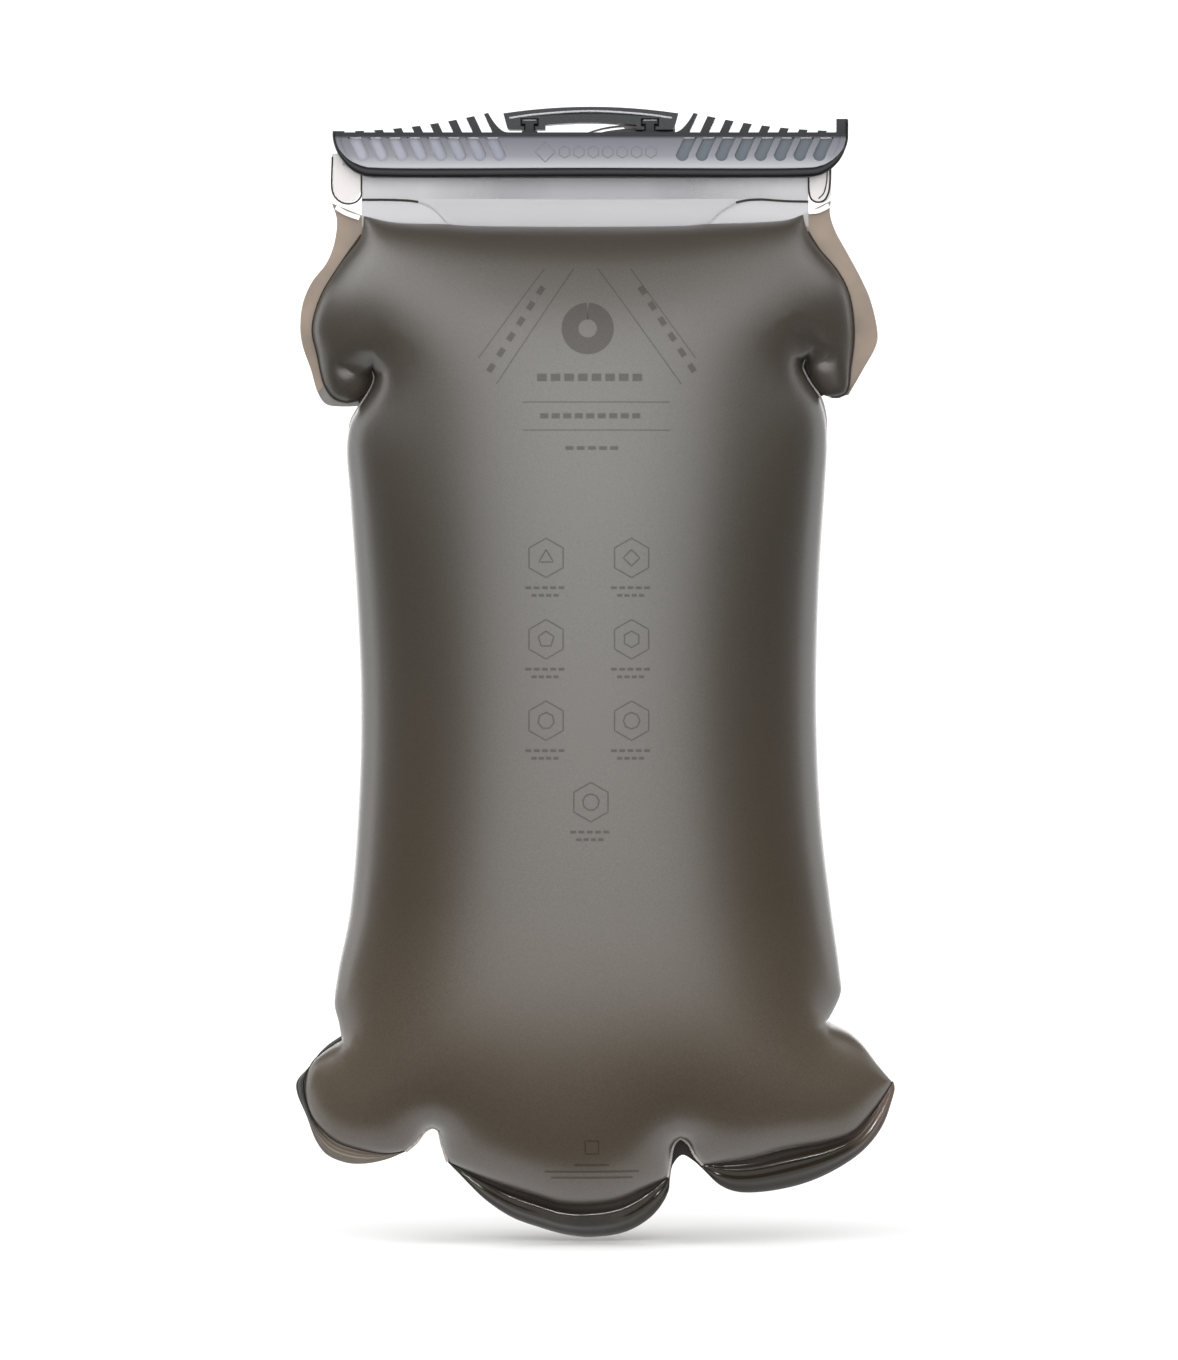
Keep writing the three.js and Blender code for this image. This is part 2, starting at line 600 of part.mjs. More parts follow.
add("port_housing", portHousing(), portPlastic, port);
add("port_end_cap", portEndCap(), portPlastic, port);
add("port_weld_ring", portWeldRing(), smokeFilm, port);
add("socket_seal", ring(SOCKET_R + 0.3, 1.5, 1.6), sealRubber, port);
add("valve_poppet", valvePoppet(), buttonPlastic, port);
add("valve_seal", ring(4.1, 0.9, CHAMBER_TOP - 0.85), sealRubber, port);
add("valve_spring", valveSpring(), springSteel, port);
add("release_button", releaseButton(), buttonPlastic, port);
add("latch_spring", latchSpring(), springSteel, port);

export default root;
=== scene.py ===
"""Looks of a hydration bladder: a full film bag with welded ears and lobes, a clear folded neck,
a slide clip with its carry handle, and the port on the back."""

import math

import bpy
import numpy as np
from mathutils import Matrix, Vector
from mathutils.bvhtree import BVHTree
from mathutils.geometry import delaunay_2d_cdt


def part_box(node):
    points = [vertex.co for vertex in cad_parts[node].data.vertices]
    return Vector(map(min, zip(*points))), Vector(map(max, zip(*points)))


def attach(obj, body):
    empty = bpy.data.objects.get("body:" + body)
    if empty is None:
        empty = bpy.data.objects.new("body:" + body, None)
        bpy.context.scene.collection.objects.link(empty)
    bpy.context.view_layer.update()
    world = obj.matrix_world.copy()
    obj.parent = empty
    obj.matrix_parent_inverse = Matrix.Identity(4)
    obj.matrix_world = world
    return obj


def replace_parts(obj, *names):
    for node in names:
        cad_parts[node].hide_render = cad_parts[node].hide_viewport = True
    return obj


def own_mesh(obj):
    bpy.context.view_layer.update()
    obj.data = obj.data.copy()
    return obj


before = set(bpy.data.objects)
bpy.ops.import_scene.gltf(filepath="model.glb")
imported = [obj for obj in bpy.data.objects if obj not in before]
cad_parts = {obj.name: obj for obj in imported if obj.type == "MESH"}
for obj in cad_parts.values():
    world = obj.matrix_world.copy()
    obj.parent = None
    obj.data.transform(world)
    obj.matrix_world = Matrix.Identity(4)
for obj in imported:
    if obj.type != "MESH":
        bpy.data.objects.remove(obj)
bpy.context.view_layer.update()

MM = 0.001

# --- places taken from the frame ----------------------------------------------------------
NECK_FOOT = 323.5  # height of the clear neck's lower edge above the bag's lowest point, mm
BASE_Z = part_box("neck_front_film")[0][2] - NECK_FOOT * MM
SEAM_Y = (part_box("front_panel")[1][1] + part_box("back_panel")[0][1]) / 2


def place(x, y, z):
    """Millimetres from the bag's lowest point in the seam plane, as a point of the frame."""
    return (x * MM, SEAM_Y + y * MM, BASE_Z + z * MM)


# --- outline of the bag, in millimetres (x, height) ---------------------------------------
TOP_EDGE = [
    (67.8, 327.5), (63, 325.8), (36, 324.4), (30, 323.9), (-39, 323.9), (-46, 324.4), (-63, 325),
    (-72.6, 327),
]
LEFT_EAR = [
    (-72.6, 327), (-73.4, 321), (-80, 311.7), (-86.4, 301), (-89, 291), (-87.4, 282.5),
    (-85.1, 273), (-82.4, 269), (-78.4, 267.6), (-74.6, 268.1),
]
LEFT_TUCK_EAR = [(-74.6, 268.1), (-71.8, 270.8), (-70.2, 274), (-69.9, 277.4)]
LEFT_TUCK_BODY = [(-69.9, 277.4), (-69.2, 275.6), (-69.7, 273.2), (-71.4, 270), (-73.9, 266.2)]
LEFT_SIDE = [
    (-73.9, 266.2), (-76.7, 261.4), (-78.1, 254), (-77, 236), (-74.7, 201), (-73.6, 172),
    (-74.2, 142), (-77.1, 105), (-81, 84.8), (-82, 75), (-80.6, 69), (-79.7, 63.6),
]
LOW_LEFT_EAR = [
    (-79.7, 63.6), (-85.1, 60), (-89.4, 55.7), (-91.4, 48.5), (-89.4, 39.7), (-85.1, 33.9),
    (-80.6, 30.6), (-73.9, 28.5), (-65.3, 27.2), (-59.5, 28),
]
LEFT_NOTCH = [
    (-59.5, 28), (-56, 31), (-53.2, 34.6), (-50.6, 35.8), (-48.6, 34.9), (-47.3, 30), (-45.6, 24.6),
]
MIDDLE_LOBE = [
    (-45.6, 24.6), (-36.8, 20.5), (-28.3, 17.2), (-18.6, 14), (-9, 11.2), (0, 11), (9, 12.4),
    (17, 16), (24.4, 19.6),
]
RIGHT_NOTCH = [(24.4, 19.6), (25.2, 25), (26.3, 30), (28.6, 32.2), (31.2, 30.6), (33.4, 26.6), (36, 23.6)]
LOW_RIGHT_EAR = [(36, 23.6), (50.6, 25.4), (62, 28.3), (77, 31.2), (84, 34), (90.6, 41.4), (96.4, 50)]
LOW_RIGHT_TOP = [(96.4, 50), (91.5, 56), (87, 62), (82.6, 66), (78.5, 68.2), (75.6, 69.6)]
RIGHT_SIDE = [
    (75.6, 69.6), (77.6, 73), (80, 78.9), (79.6, 85.5), (76.6, 108), (73.6, 135), (72.2, 170),
    (73.1, 211), (74.9, 240), (75.6, 254), (75, 263), (73.2, 269.2),
]
RIGHT_TUCK_BODY = [(73.2, 269.2), (70.6, 272.9), (68.6, 276.2), (67.6, 278.9), (68.5, 281.3)]
RIGHT_TUCK_EAR = [(68.5, 281.3), (68.9, 278), (71, 273.8), (74, 270)]
RIGHT_EAR = [
    (74, 270), (77, 269.1), (81.4, 270.3), (82.9, 278.6), (84, 290), (82.4, 302), (78.7, 309.4),
    (73, 316.2), (69.3, 322), (67.8, 327.5),
]
OUTLINE = [
    TOP_EDGE, LEFT_EAR, LEFT_TUCK_EAR, LEFT_TUCK_BODY, LEFT_SIDE, LOW_LEFT_EAR, LEFT_NOTCH,
    MIDDLE_LOBE, RIGHT_NOTCH, LOW_RIGHT_EAR, LOW_RIGHT_TOP, RIGHT_SIDE, RIGHT_TUCK_BODY,
    RIGHT_TUCK_EAR, RIGHT_EAR,
]

# Free edge of the weld, outside the ears and lobes.
WELD_LEFT_EAR = [
    (-82.9, 331.2), (-81.3, 326), (-82.2, 318), (-84.6, 312), (-89.3, 305.9), (-92.2, 299), (-93, 291.2),
    (-92.2, 285.4), (-89.6, 278), (-87.4, 270.6), (-84.8, 266.9), (-79.5, 266.1), (-73.8, 266.3),
]
WELD_LOW_LEFT = [
    (-79.8, 62.4), (-85.8, 57.9), (-91, 54), (-94.2, 50), (-94.1, 46.5), (-91, 39), (-88, 31), (-84.6, 26.6),
    (-78.4, 24), (-72.6, 23.7), (-65.3, 25.2), (-59.5, 27.6),
]
WELD_MIDDLE = [
    (-45.9, 24.4), (-42.4, 20.8), (-33.9, 12.2), (-25.3, 6.4), (-16.6, 3.2), (-8, 0.8), (0.3, 0), (11.7, 1.9),
    (20.2, 7.4), (24.8, 14.7), (25.3, 19),
]
WELD_NOTCH = [(25.3, 19), (26.2, 23.4), (29.2, 26.6), (32.6, 24.9), (36, 21.9)]
WELD_LOW_RIGHT = [
    (36, 21.9), (41, 17), (46.1, 14.7), (54.1, 14.4), (67.8, 17), (79.2, 22.1),
    (87.7, 28.3), (93.4, 35.8), (96.3, 43.8), (97.3, 48.3), (96.6, 50.4),
]
WELD_RIGHT_EAR = [
    (82.4, 269.8), (87.2, 278.1), (91.2, 285.4), (91.8, 289), (89.6, 299.8), (86.7, 306.6), (82.1, 315.2),
    (78.1, 322.6), (76.5, 328), (76.8, 332),
]

EDGE_STEP = 1.5  # spacing of points along the outline
FIRST_RING = 0.1  # distance of the first row of points from the outline
RING_COUNT = 11
RING_SPACING = 0.96  # share of its distance that a row's point must keep from every edge
GRID_STEP = 2.6
GRID_GAP = 0.8  # between the last row and the even grid in the middle
SOLVER_STEPS = 900
SOLVER_REST = 1e-14
DEPTH = 42.5  # how far the film stands off the seam plane at the fullest point
EDGE_LIFT = 0.9  # the film's edge lies this far in front of the seam plane, over the neck


def mix(p, q, start, end, t):
    """The point at t on the line that passes p at start and q at end."""
    return (end - t) / (end - start) * p + (t - start) / (end - start) * q


def spline(points, step):
    """A smooth open curve through the points, sampled at about the given step."""
    pts = [np.array(p, float) for p in points]
    pts = [2 * pts[0] - pts[1]] + pts + [2 * pts[-1] - pts[-2]]
    out = []
    for a, b, c, d in zip(pts, pts[1:], pts[2:], pts[3:]):
        spans = [max(np.linalg.norm(q - p), 1e-6) ** 0.5 for p, q in ((a, b), (b, c), (c, d))]
        k0, k1, k2, k3 = np.cumsum([0] + spans)
        count = max(1, int(round(np.linalg.norm(c - b) / step)))
        for t in k1 + (k2 - k1) * np.arange(count) / count:
            ab, bc, cd = mix(a, b, k0, k1, t), mix(b, c, k1, k2, t), mix(c, d, k2, k3, t)
            out.append(mix(mix(ab, bc, k0, k2, t), mix(bc, cd, k1, k3, t), k1, k2, t))
    out.append(pts[-2])
    return np.array(out)


def resample(curve, count):
    """The curve with the given number of evenly spaced points."""
    length = np.concatenate([[0], np.cumsum(np.linalg.norm(np.diff(curve, axis=0), axis=1))])
    at = np.linspace(0, length[-1], count)
    return np.stack([np.interp(at, length, curve[:, k]) for k in range(curve.shape[1])], axis=1)


def outline_loop():
    """The bag's whole outline as one closed row of points."""
    loop = [spline(part, EDGE_STEP)[:-1] for part in OUTLINE]
    return np.concatenate(loop)


def distance_to(points, loop):
    """Distance of each point from a closed polyline."""
    sides = np.roll(loop, -1, axis=0) - loop
    best = np.full(len(points), 1e9)
    for start, side in zip(loop, sides):
        t = np.clip(((points - start) @ side) / (side @ side), 0, 1)
        best = np.minimum(best, np.linalg.norm(points - start - t[:, None] * side, axis=1))
    return best


def inside(points, loop):
    """Which points lie inside a closed polyline."""
    hit = np.zeros(len(points), bool)
    for (x0, z0), (x1, z1) in zip(loop, np.roll(loop, -1, axis=0)):
        if z0 == z1:
            continue
        spans = (points[:, 1] > z0) != (points[:, 1] > z1)
        cross = x0 + (points[:, 1] - z0) / (z1 - z0) * (x1 - x0)
        hit ^= spans & (points[:, 0] < cross)
    return hit


def film_mesh(loop):
    """Points and triangles that fill the outline, in close rows along its edge."""
    tangent = np.roll(loop, -1, axis=0) - np.roll(loop, 1, axis=0)
    normal = np.stack([-tangent[:, 1], tangent[:, 0]], axis=1)
    normal /= np.linalg.norm(normal, axis=1)[:, None]
    if not inside(loop[:1] + normal[:1] * 0.5, loop)[0]:
        normal = -normal
    rings = []
    for k in range(1, RING_COUNT + 1):
        depth = FIRST_RING * k * k
        ring = loop + normal * depth
        keep = inside(ring, loop) & (distance_to(ring, loop) > depth * RING_SPACING)
        rings.append(ring[keep])
    low, high = loop.min(axis=0), loop.max(axis=0)
    xs = np.arange(low[0], high[0], GRID_STEP)
    zs = np.arange(low[1], high[1], GRID_STEP * math.sqrt(3) / 2)
    grid = np.array([(x + (j % 2) * GRID_STEP / 2, z) for j, z in enumerate(zs) for x in xs])
    grid = grid[inside(grid, loop)]
    grid = grid[distance_to(grid, loop) > FIRST_RING * RING_COUNT**2 + GRID_GAP]
    points = np.concatenate([loop] + rings + [grid])
    edges = [(i, (i + 1) % len(loop)) for i in range(len(loop))]
    made = delaunay_2d_cdt([Vector(p) for p in points], edges, [], 1, 1e-5)
    verts = np.array([tuple(v) for v in made[0]])
    tris = np.array([tuple(f) for f in made[2]])
    return verts, tris, edges_of(tris)


def edges_of(tris):
    """The edges that belong to one triangle only."""
    sides = np.sort(np.concatenate([tris[:, [0, 1]], tris[:, [1, 2]], tris[:, [2, 0]]]), axis=1)
    unique, count = np.unique(sides, axis=0, return_counts=True)
    return unique[count == 1]


def pressure_height(verts, tris, rim):
    """Square root of the sag of a membrane under even pressure, 1 at the fullest point."""
    a, b, c = verts[tris[:, 0]], verts[tris[:, 1]], verts[tris[:, 2]]
    area = np.abs(np.cross(b - a, c - a)) / 2 + 1e-9
    count = len(verts)
    load = np.zeros(count)
    for k in range(3):
        load += np.bincount(tris[:, k], area / 3, count)
    rows, cols, weights = [], [], []
    for i, j, o in ((1, 2, 0), (2, 0, 1), (0, 1, 2)):
        u, v = verts[tris[:, i]] - verts[tris[:, o]], verts[tris[:, j]] - verts[tris[:, o]]
        cot = (u * v).sum(axis=1) / (2 * area)
        rows += [tris[:, i], tris[:, j]]
        cols += [tris[:, j], tris[:, i]]
        weights += [cot / 2, cot / 2]
    rows, cols, weights = np.concatenate(rows), np.concatenate(cols), np.concatenate(weights)
    diagonal = np.bincount(rows, weights, count)
    free = np.ones(count, bool)
    free[np.unique(rim)] = False

    def stiffness(x):
        return (diagonal * x - np.bincount(rows, weights * x[cols], count)) * free

    x = np.zeros(count)
    residual = load * free
    scale = np.where(free, 1 / np.maximum(diagonal, 1e-9), 0)
    step = scale * residual
    power = residual @ step
    for _ in range(SOLVER_STEPS):
        response = stiffness(step)
        size = power / (step @ response)
        x += size * step
        residual -= size * response
        solved = scale * residual
        fresh = residual @ solved
        if fresh < SOLVER_REST * count:
            break
        step = solved + fresh / power * step
        power = fresh
    return np.sqrt(np.maximum(x, 0) / x.max())


def new_object(name, verts, faces, material):
    """A smooth-shaded mesh object with one material."""
    mesh = bpy.data.meshes.new(name)
    mesh.from_pydata([tuple(v) for v in verts], [], [tuple(int(i) for i in f) for f in faces])
    mesh.validate()
    mesh.update()
    mesh.polygons.foreach_set("use_smooth", [True] * len(mesh.polygons))
    obj = bpy.data.objects.new(name, mesh)
    bpy.context.scene.collection.objects.link(obj)
    mesh.materials.append(material)
    return obj


# --- materials ----------------------------------------------------------------------------
def new_material(name, color, roughness, **sockets):
    """A Principled material; sockets are set directly by their names."""
    mat = bpy.data.materials.new(name)
    mat.use_nodes = True
    shader = shader_of(mat)
    shader.inputs["Base Color"].default_value = (*color, 1)
    shader.inputs["Roughness"].default_value = roughness
    for socket, value in sockets.items():
        shader.inputs[socket.replace("_", " ")].default_value = value
    return mat


def shader_of(mat):
    """The material's Principled node."""
    return mat.node_tree.nodes["Principled BSDF"]


def node(mat, kind, **inputs):
    """A new node in the material, with its inputs set by their names."""
    made = mat.node_tree.nodes.new(kind)
    for name, value in inputs.items():
        made.inputs[name.replace("_", " ")].default_value = value
    return made


def link(mat, source, target):
    mat.node_tree.links.new(source, target)


def object_noise(mat, scale, detail=2.0):
    """Noise that is fixed to the object, with the scale in waves per metre."""
    coord = node(mat, "ShaderNodeTexCoord")
    noise = node(mat, "ShaderNodeTexNoise", Scale=scale, Detail=detail)
    link(mat, coord.outputs["Object"], noise.inputs["Vector"])
    return noise


def vary(mat, noise, dark, light, low=0.35, high=0.65):
    """Base colour that follows the noise between two colours."""
    ramp = node(mat, "ShaderNodeValToRGB")
    ramp.color_ramp.elements[0].position = low
    ramp.color_ramp.elements[1].position = high
    ramp.color_ramp.elements[0].color = (*dark, 1)
    ramp.color_ramp.elements[1].color = (*light, 1)
    link(mat, noise.outputs["Fac"], ramp.inputs["Fac"])
    color_from(mat, ramp.outputs["Color"])
    return ramp


def bump(mat, noise, strength, distance):
    """Fine relief that follows the noise; the distance is in metres."""
    bumps = node(mat, "ShaderNodeBump", Strength=strength, Distance=distance)
    link(mat, noise.outputs["Fac"], bumps.inputs["Height"])
    link(mat, bumps.outputs["Normal"], shader_of(mat).inputs["Normal"])


def along(mat, axis, stops):
    """A ramp driven by one object coordinate; each stop is a place in mm and its value or colour."""
    low, high = stops[0][0], stops[-1][0]
    coord = node(mat, "ShaderNodeTexCoord")
    split = node(mat, "ShaderNodeSeparateXYZ")
    link(mat, coord.outputs["Object"], split.inputs["Vector"])
    span = node(mat, "ShaderNodeMapRange")
    span.inputs["From Min"].default_value = low * MM
    span.inputs["From Max"].default_value = high * MM
    link(mat, split.outputs[axis], span.inputs["Value"])
    ramp = node(mat, "ShaderNodeValToRGB")
    elements = ramp.color_ramp.elements
    while len(elements) < len(stops):
        elements.new(0.5)
    for element, (at, value) in zip(elements, stops):
        element.position = (at - low) / (high - low)
        element.color = (*value, 1) if isinstance(value, tuple) else (value, value, value, 1)
    link(mat, span.outputs["Result"], ramp.inputs["Fac"])
    return ramp.outputs["Color"]


def by_height(mat, stops):
    """A ramp over height; each stop is a height over the bag's lowest point and its colour."""
    return along(mat, "Z", [(z + BASE_Z / MM, value) for z, value in stops])


def color_from(mat, source):
    link(mat, source, shader_of(mat).inputs["Base Color"])


SMOKE_TINTS = [  # height over the bag's lowest point, mm, and the film's colour there
    (0, (0.094, 0.073, 0.05)), (62, (0.086, 0.066, 0.045)), (110, (0.052, 0.04, 0.026)),
    (220, (0.04, 0.033, 0.024)), (330, (0.05, 0.042, 0.033)),
]


def smoke_film():
    """Smoke-tinted film with a fine matte grain, browner and paler towards the bottom."""
    mat = new_material("smoke_film", (0.05, 0.039, 0.028), 0.36, Specular_IOR_Level=1.0)
    grain = object_noise(mat, 2200, 3)
    speckle = vary(mat, grain, (0.8, 0.8, 0.8), (1.2, 1.2, 1.2))
    multiply = node(mat, "ShaderNodeMix")
    multiply.data_type = "RGBA"
    multiply.blend_type = "MULTIPLY"
    multiply.inputs["Factor"].default_value = 1.0
    link(mat, by_height(mat, SMOKE_TINTS), multiply.inputs["A"])
    link(mat, speckle.outputs["Color"], multiply.inputs["B"])
    color_from(mat, multiply.outputs["Result"])
    bump(mat, grain, 0.25, 0.00008)
    return mat


def weld_film():
    """Glossy dark film where the two panels are welded together."""
    mat = new_material("weld_film", (0.05, 0.038, 0.024), 0.15, Specular_IOR_Level=0.4)
    vary(mat, object_noise(mat, 160, 2), (0.036, 0.027, 0.017), (0.062, 0.048, 0.031))
    return mat


def weld_end_film():
    """The lower right weld: as dark as the others, turning beige at its upper end."""
    mat = new_material("weld_end_film", (0.05, 0.038, 0.024), 0.18, Specular_IOR_Level=0.4)
    widths = [
        (60, (0.05, 0.038, 0.024)), (82, (0.06, 0.046, 0.03)), (88, (0.17, 0.125, 0.095)),
        (97, (0.3, 0.22, 0.18)),
    ]
    color_from(mat, along(mat, "X", widths))
    return mat


def pale_film():
    """Beige film of the wide welds beside the upper ears."""
    mat = new_material("pale_film", (0.24, 0.19, 0.15), 0.4, Specular_IOR_Level=0.3)
    vary(mat, object_noise(mat, 90, 2), (0.215, 0.17, 0.135), (0.27, 0.21, 0.165))
    return mat


def clear_film():
    """Clear film of the neck, a little greyer near its foot."""
    mat = new_material("clear_film", (0.72, 0.71, 0.735), 0.25, Alpha=0.5)
    heights = [(323, (0.56, 0.56, 0.58)), (331, (0.6, 0.6, 0.62)), (337, (0.78, 0.77, 0.79))]
    color_from(mat, by_height(mat, heights))
    bump(mat, object_noise(mat, 40, 1), 0.05, 0.0006)
    return mat


def tab_film():
    """Milky film of the two end tabs."""
    mat = new_material("tab_film", (0.74, 0.7, 0.7), 0.3, Alpha=0.82)
    bump(mat, object_noise(mat, 60, 1), 0.1, 0.0004)
    return mat


def clip_plastic():
    """Dark satin plastic; a painted sheen makes its broad face pale just above the bead and fades upwards,
    while the bead's edge and the top stay dark.
    """
    mat = new_material("clip_plastic", (0.2, 0.2, 0.22), 0.35, Specular_IOR_Level=0.15)
    # painted sheen: the face between 342 and 351 mm is much paler than the dark plastic of the bead and the
    # top
    heights = [
        (341.4, (0.012, 0.012, 0.014)), (342.4, (0.43, 0.435, 0.46)), (346, (0.23, 0.235, 0.26)),
        (351.4, (0.15, 0.152, 0.175)), (352.3, (0.02, 0.021, 0.025)), (362, (0.035, 0.036, 0.04)),
    ]
    color_from(mat, by_height(mat, heights))
    bump(mat, object_noise(mat, 5200, 2), 0.2, 0.00004)
    return mat


def rail_film():
    """Bluish film of the folded mouth, seen through the clip's slots."""
    mat = new_material("rail_film", (0.2, 0.23, 0.28), 0.3)
    widths = [
        (-80, (0.33, 0.335, 0.39)), (-30, (0.23, 0.24, 0.3)), (30, (0.062, 0.082, 0.108)),
        (78, (0.05, 0.072, 0.1)),
    ]
    color_from(mat, along(mat, "X", widths))
    bump(mat, object_noise(mat, 500, 3), 0.25, 0.0003)
    return mat


def clip_reflection_film():
    """Painted reflection of the dark clip on the folded lip: grey, fading out towards both ends."""
    mat = new_material("clip_reflection_film", (0.36, 0.36, 0.39), 0.3)
    across = along(mat, "X", [(-54, 0.0), (-36, 0.3), (-12, 0.85), (18, 0.85), (38, 0.3), (60, 0.0)])
    link(mat, across, shader_of(mat).inputs["Alpha"])
    return mat


def flange_film():
    """The lower left flange: dark beside the lobe, beige with a satin gloss along its foot."""
    mat = new_material("weld_brown", (0.17, 0.135, 0.105), 0.3, Specular_IOR_Level=0.4)
    heights = [
        (24, (0.24, 0.2, 0.16)), (31, (0.16, 0.125, 0.095)), (39, (0.03, 0.029, 0.026)),
        (60, (0.05, 0.05, 0.047)),
    ]
    color_from(mat, by_height(mat, heights))
    bump(mat, object_noise(mat, 300, 2), 0.2, 0.0001)
    return mat


def plain(name, color, roughness, scale=3000, **sockets):
    """Moulded plastic, rubber or metal with a fine grain; the same helper makes the pale painted highlights
    and the dark painted shade.
    """
    mat = new_material(name, color, roughness, **sockets)
    grain = object_noise(mat, scale, 2)
    vary(mat, grain, tuple(0.85 * c for c in color), tuple(min(1, 1.15 * c) for c in color))
    bump(mat, grain, 0.15, 0.00004)
    return mat


SMOKE = smoke_film()
WELD = weld_film()
WELD_END = weld_end_film()
PALE = pale_film()
CLEAR = clear_film()
CLIP_PAINTED_SHEEN = clip_plastic()
RAIL = rail_film()
CLIP_REFLECTION = clip_reflection_film()
TAB = tab_film()
GREY = plain("weld_grey", (0.12, 0.115, 0.1), 0.4, 300)
BROWN = flange_film()
BEAD = plain("bead_plastic", (0.01, 0.01, 0.012), 0.35, Specular_IOR_Level=0.25)
HANDLE = plain("handle_rubber", (0.04, 0.041, 0.045), 0.4, Specular_IOR_Level=0.15)
# painted highlight: a pale colour on the thin beads along the handle's arc and the posts' heads
PAINTED_HIGHLIGHT = plain("painted_highlight", (0.42, 0.42, 0.44), 0.2)
STRAP = plain("tinted_strap", (0.05, 0.04, 0.042), 0.4)
STRAP_FILM = plain("tinted_film", (0.36, 0.29, 0.29), 0.4, 300)
# painted highlight: near-white colour for the glints on the welds beside the tabs
GLINT = plain("weld_glint", (0.9, 0.87, 0.84), 0.3, 300)
# painted highlights: pale rim light on the pinches' edges and pale crests over the notches
PAINTED_RIM_LIGHT = plain("film_painted_rim_light", (0.36, 0.34, 0.32), 0.5, 2200, Specular_IOR_Level=0.2)
PAINTED_CREST_HIGHLIGHT = plain("fold_crest_painted_highlight", (0.72, 0.65, 0.6), 0.5, 2200, Specular_IOR_Level=0.2)
MARK = plain("embossed_plastic", (0.16, 0.163, 0.18), 0.4, Specular_IOR_Level=0.2)
# dark joints and drawn lines, and also painted shade in the pinches, the notch and under the film's bottom
# edge
DARK_LINE_AND_SHADE = plain("dark_line_and_painted_shade", (0.022, 0.017, 0.014), 0.5, Specular_IOR_Level=0.2)
SOFT_LINE = plain("soft_line", (0.3, 0.28, 0.28), 0.4)
INK = plain("ink", (0.045, 0.038, 0.03), 0.7, Alpha=0.3, Specular_IOR_Level=0.3)
PORT = plain("port_plastic", (0.03, 0.03, 0.033), 0.4)
BUTTON = plain("button_plastic", (0.09, 0.093, 0.1), 0.38)
SEAL = plain("seal_rubber", (0.01, 0.01, 0.01), 0.6)
SPRING = plain("spring_steel", (0.6, 0.61, 0.62), 0.25, 6000, Metallic=1.0)

NODE_LOOKS = {
    "neck_front_film": CLEAR, "neck_back_film": CLEAR, "back_rail": RAIL,
    "end_tab_left": TAB, "end_tab_right": TAB, "slide_clip": CLIP_PAINTED_SHEEN, "handle": HANDLE, "hang_strap": STRAP,
    "port_housing": PORT, "port_end_cap": PORT, "port_weld_ring": WELD, "socket_seal": SEAL,
    "valve_poppet": BUTTON, "valve_seal": SEAL, "release_button": BUTTON,
}
BEVELED = {"slide_clip": 0.22, "handle": 0.3, "port_housing": 0.4, "release_button": 0.4, "port_end_cap": 0.4}


def dress_nodes():
    """Give each CAD piece that stays in view its material, and round the moulded ones' edges."""
    for name, mat in NODE_LOOKS.items():
        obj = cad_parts[name]
        if not obj.data.materials:
            obj.data.materials.append(mat)
        for slot in obj.material_slots:
            slot.material = mat
    for name, width in BEVELED.items():
        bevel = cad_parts[name].modifiers.new("edges", "BEVEL")
        bevel.width = width * MM
        bevel.segments = 2
        bevel.limit_method = "ANGLE"
        bevel.angle_limit = math.radians(40)


# --- bag ----------------------------------------------------------------------------------
PORT_Z = 74.0  # height of the port's axis
PORT_SPREAD = 30.0  # how far the film is drawn out to the port
PORT_FILM_Y = 43.4  # where the film lies under the port's weld ring
PORT_HOLE = 9.0  # radius left open in the film for the port's neck


def ride(piece, body):
    """Fix a piece to its body."""
    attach(piece, body)
    return piece


CREASES = [  # centre line, how far it sinks into the film, and its half width
    ([(-69.6, 278.6), (-73.5, 280), (-78, 278.6)], 1.5, 2.6),
    ([(67.8, 282.2), (70, 283.6), (74, 281)], 1.5, 2.6),
]


def creased(verts, height):
    """The film's height with its creases pressed in, none of them past the seam plane."""
    shape = height.copy()
    for points, depth, half_width in CREASES:
        path = spline(points, 0.8)
        away = np.min(np.linalg.norm(verts[:, None, :] - path[None, :, :], axis=2), axis=1)
        shape -= depth * np.exp(-((away / half_width) ** 2)) * np.minimum(1, height / 4)
    return np.maximum(shape, 0.2 * np.minimum(height, 1))


def make_bag():
    """Front and back films; returns a ray caster for the front one."""
    loop = outline_loop()
    verts, tris, rim = film_mesh(loop)
    height = creased(verts, DEPTH * pressure_height(verts, tris, rim))
    front = [place(x, -EDGE_LIFT - h, z) for (x, z), h in zip(verts, height)]
    # Turn the triangles so that the front film faces forward.
    u, v = verts[tris[0, 1]] - verts[tris[0, 0]], verts[tris[0, 2]] - verts[tris[0, 0]]
    faces = tris if u[0] * v[1] > u[1] * v[0] else tris[:, ::-1]
    piece = ride(new_object("bag_front_film", front, faces, SMOKE), "bag")
    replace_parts(piece, "front_panel")
    reach = np.hypot(verts[:, 0], verts[:, 1] - PORT_Z)
    pull = np.exp(-((reach / PORT_SPREAD) ** 2))
    at_port = height[np.argmin(reach)] + EDGE_LIFT
    drawn = EDGE_LIFT + height + pull * (PORT_FILM_Y - at_port)
    back = [place(x, y, z) for (x, z), y in zip(verts, drawn)]
    solid = faces[reach[faces].min(axis=1) > PORT_HOLE]
    piece = ride(new_object("bag_back_film", back, solid[:, ::-1], SMOKE), "bag")
    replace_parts(piece, "back_panel")
    return BVHTree.FromPolygons([Vector(p) for p in front], [tuple(int(i) for i in f) for f in faces])


WELD_LAP = 1.4  # how far the weld strip runs in behind the front film
WELD_ROWS = 90


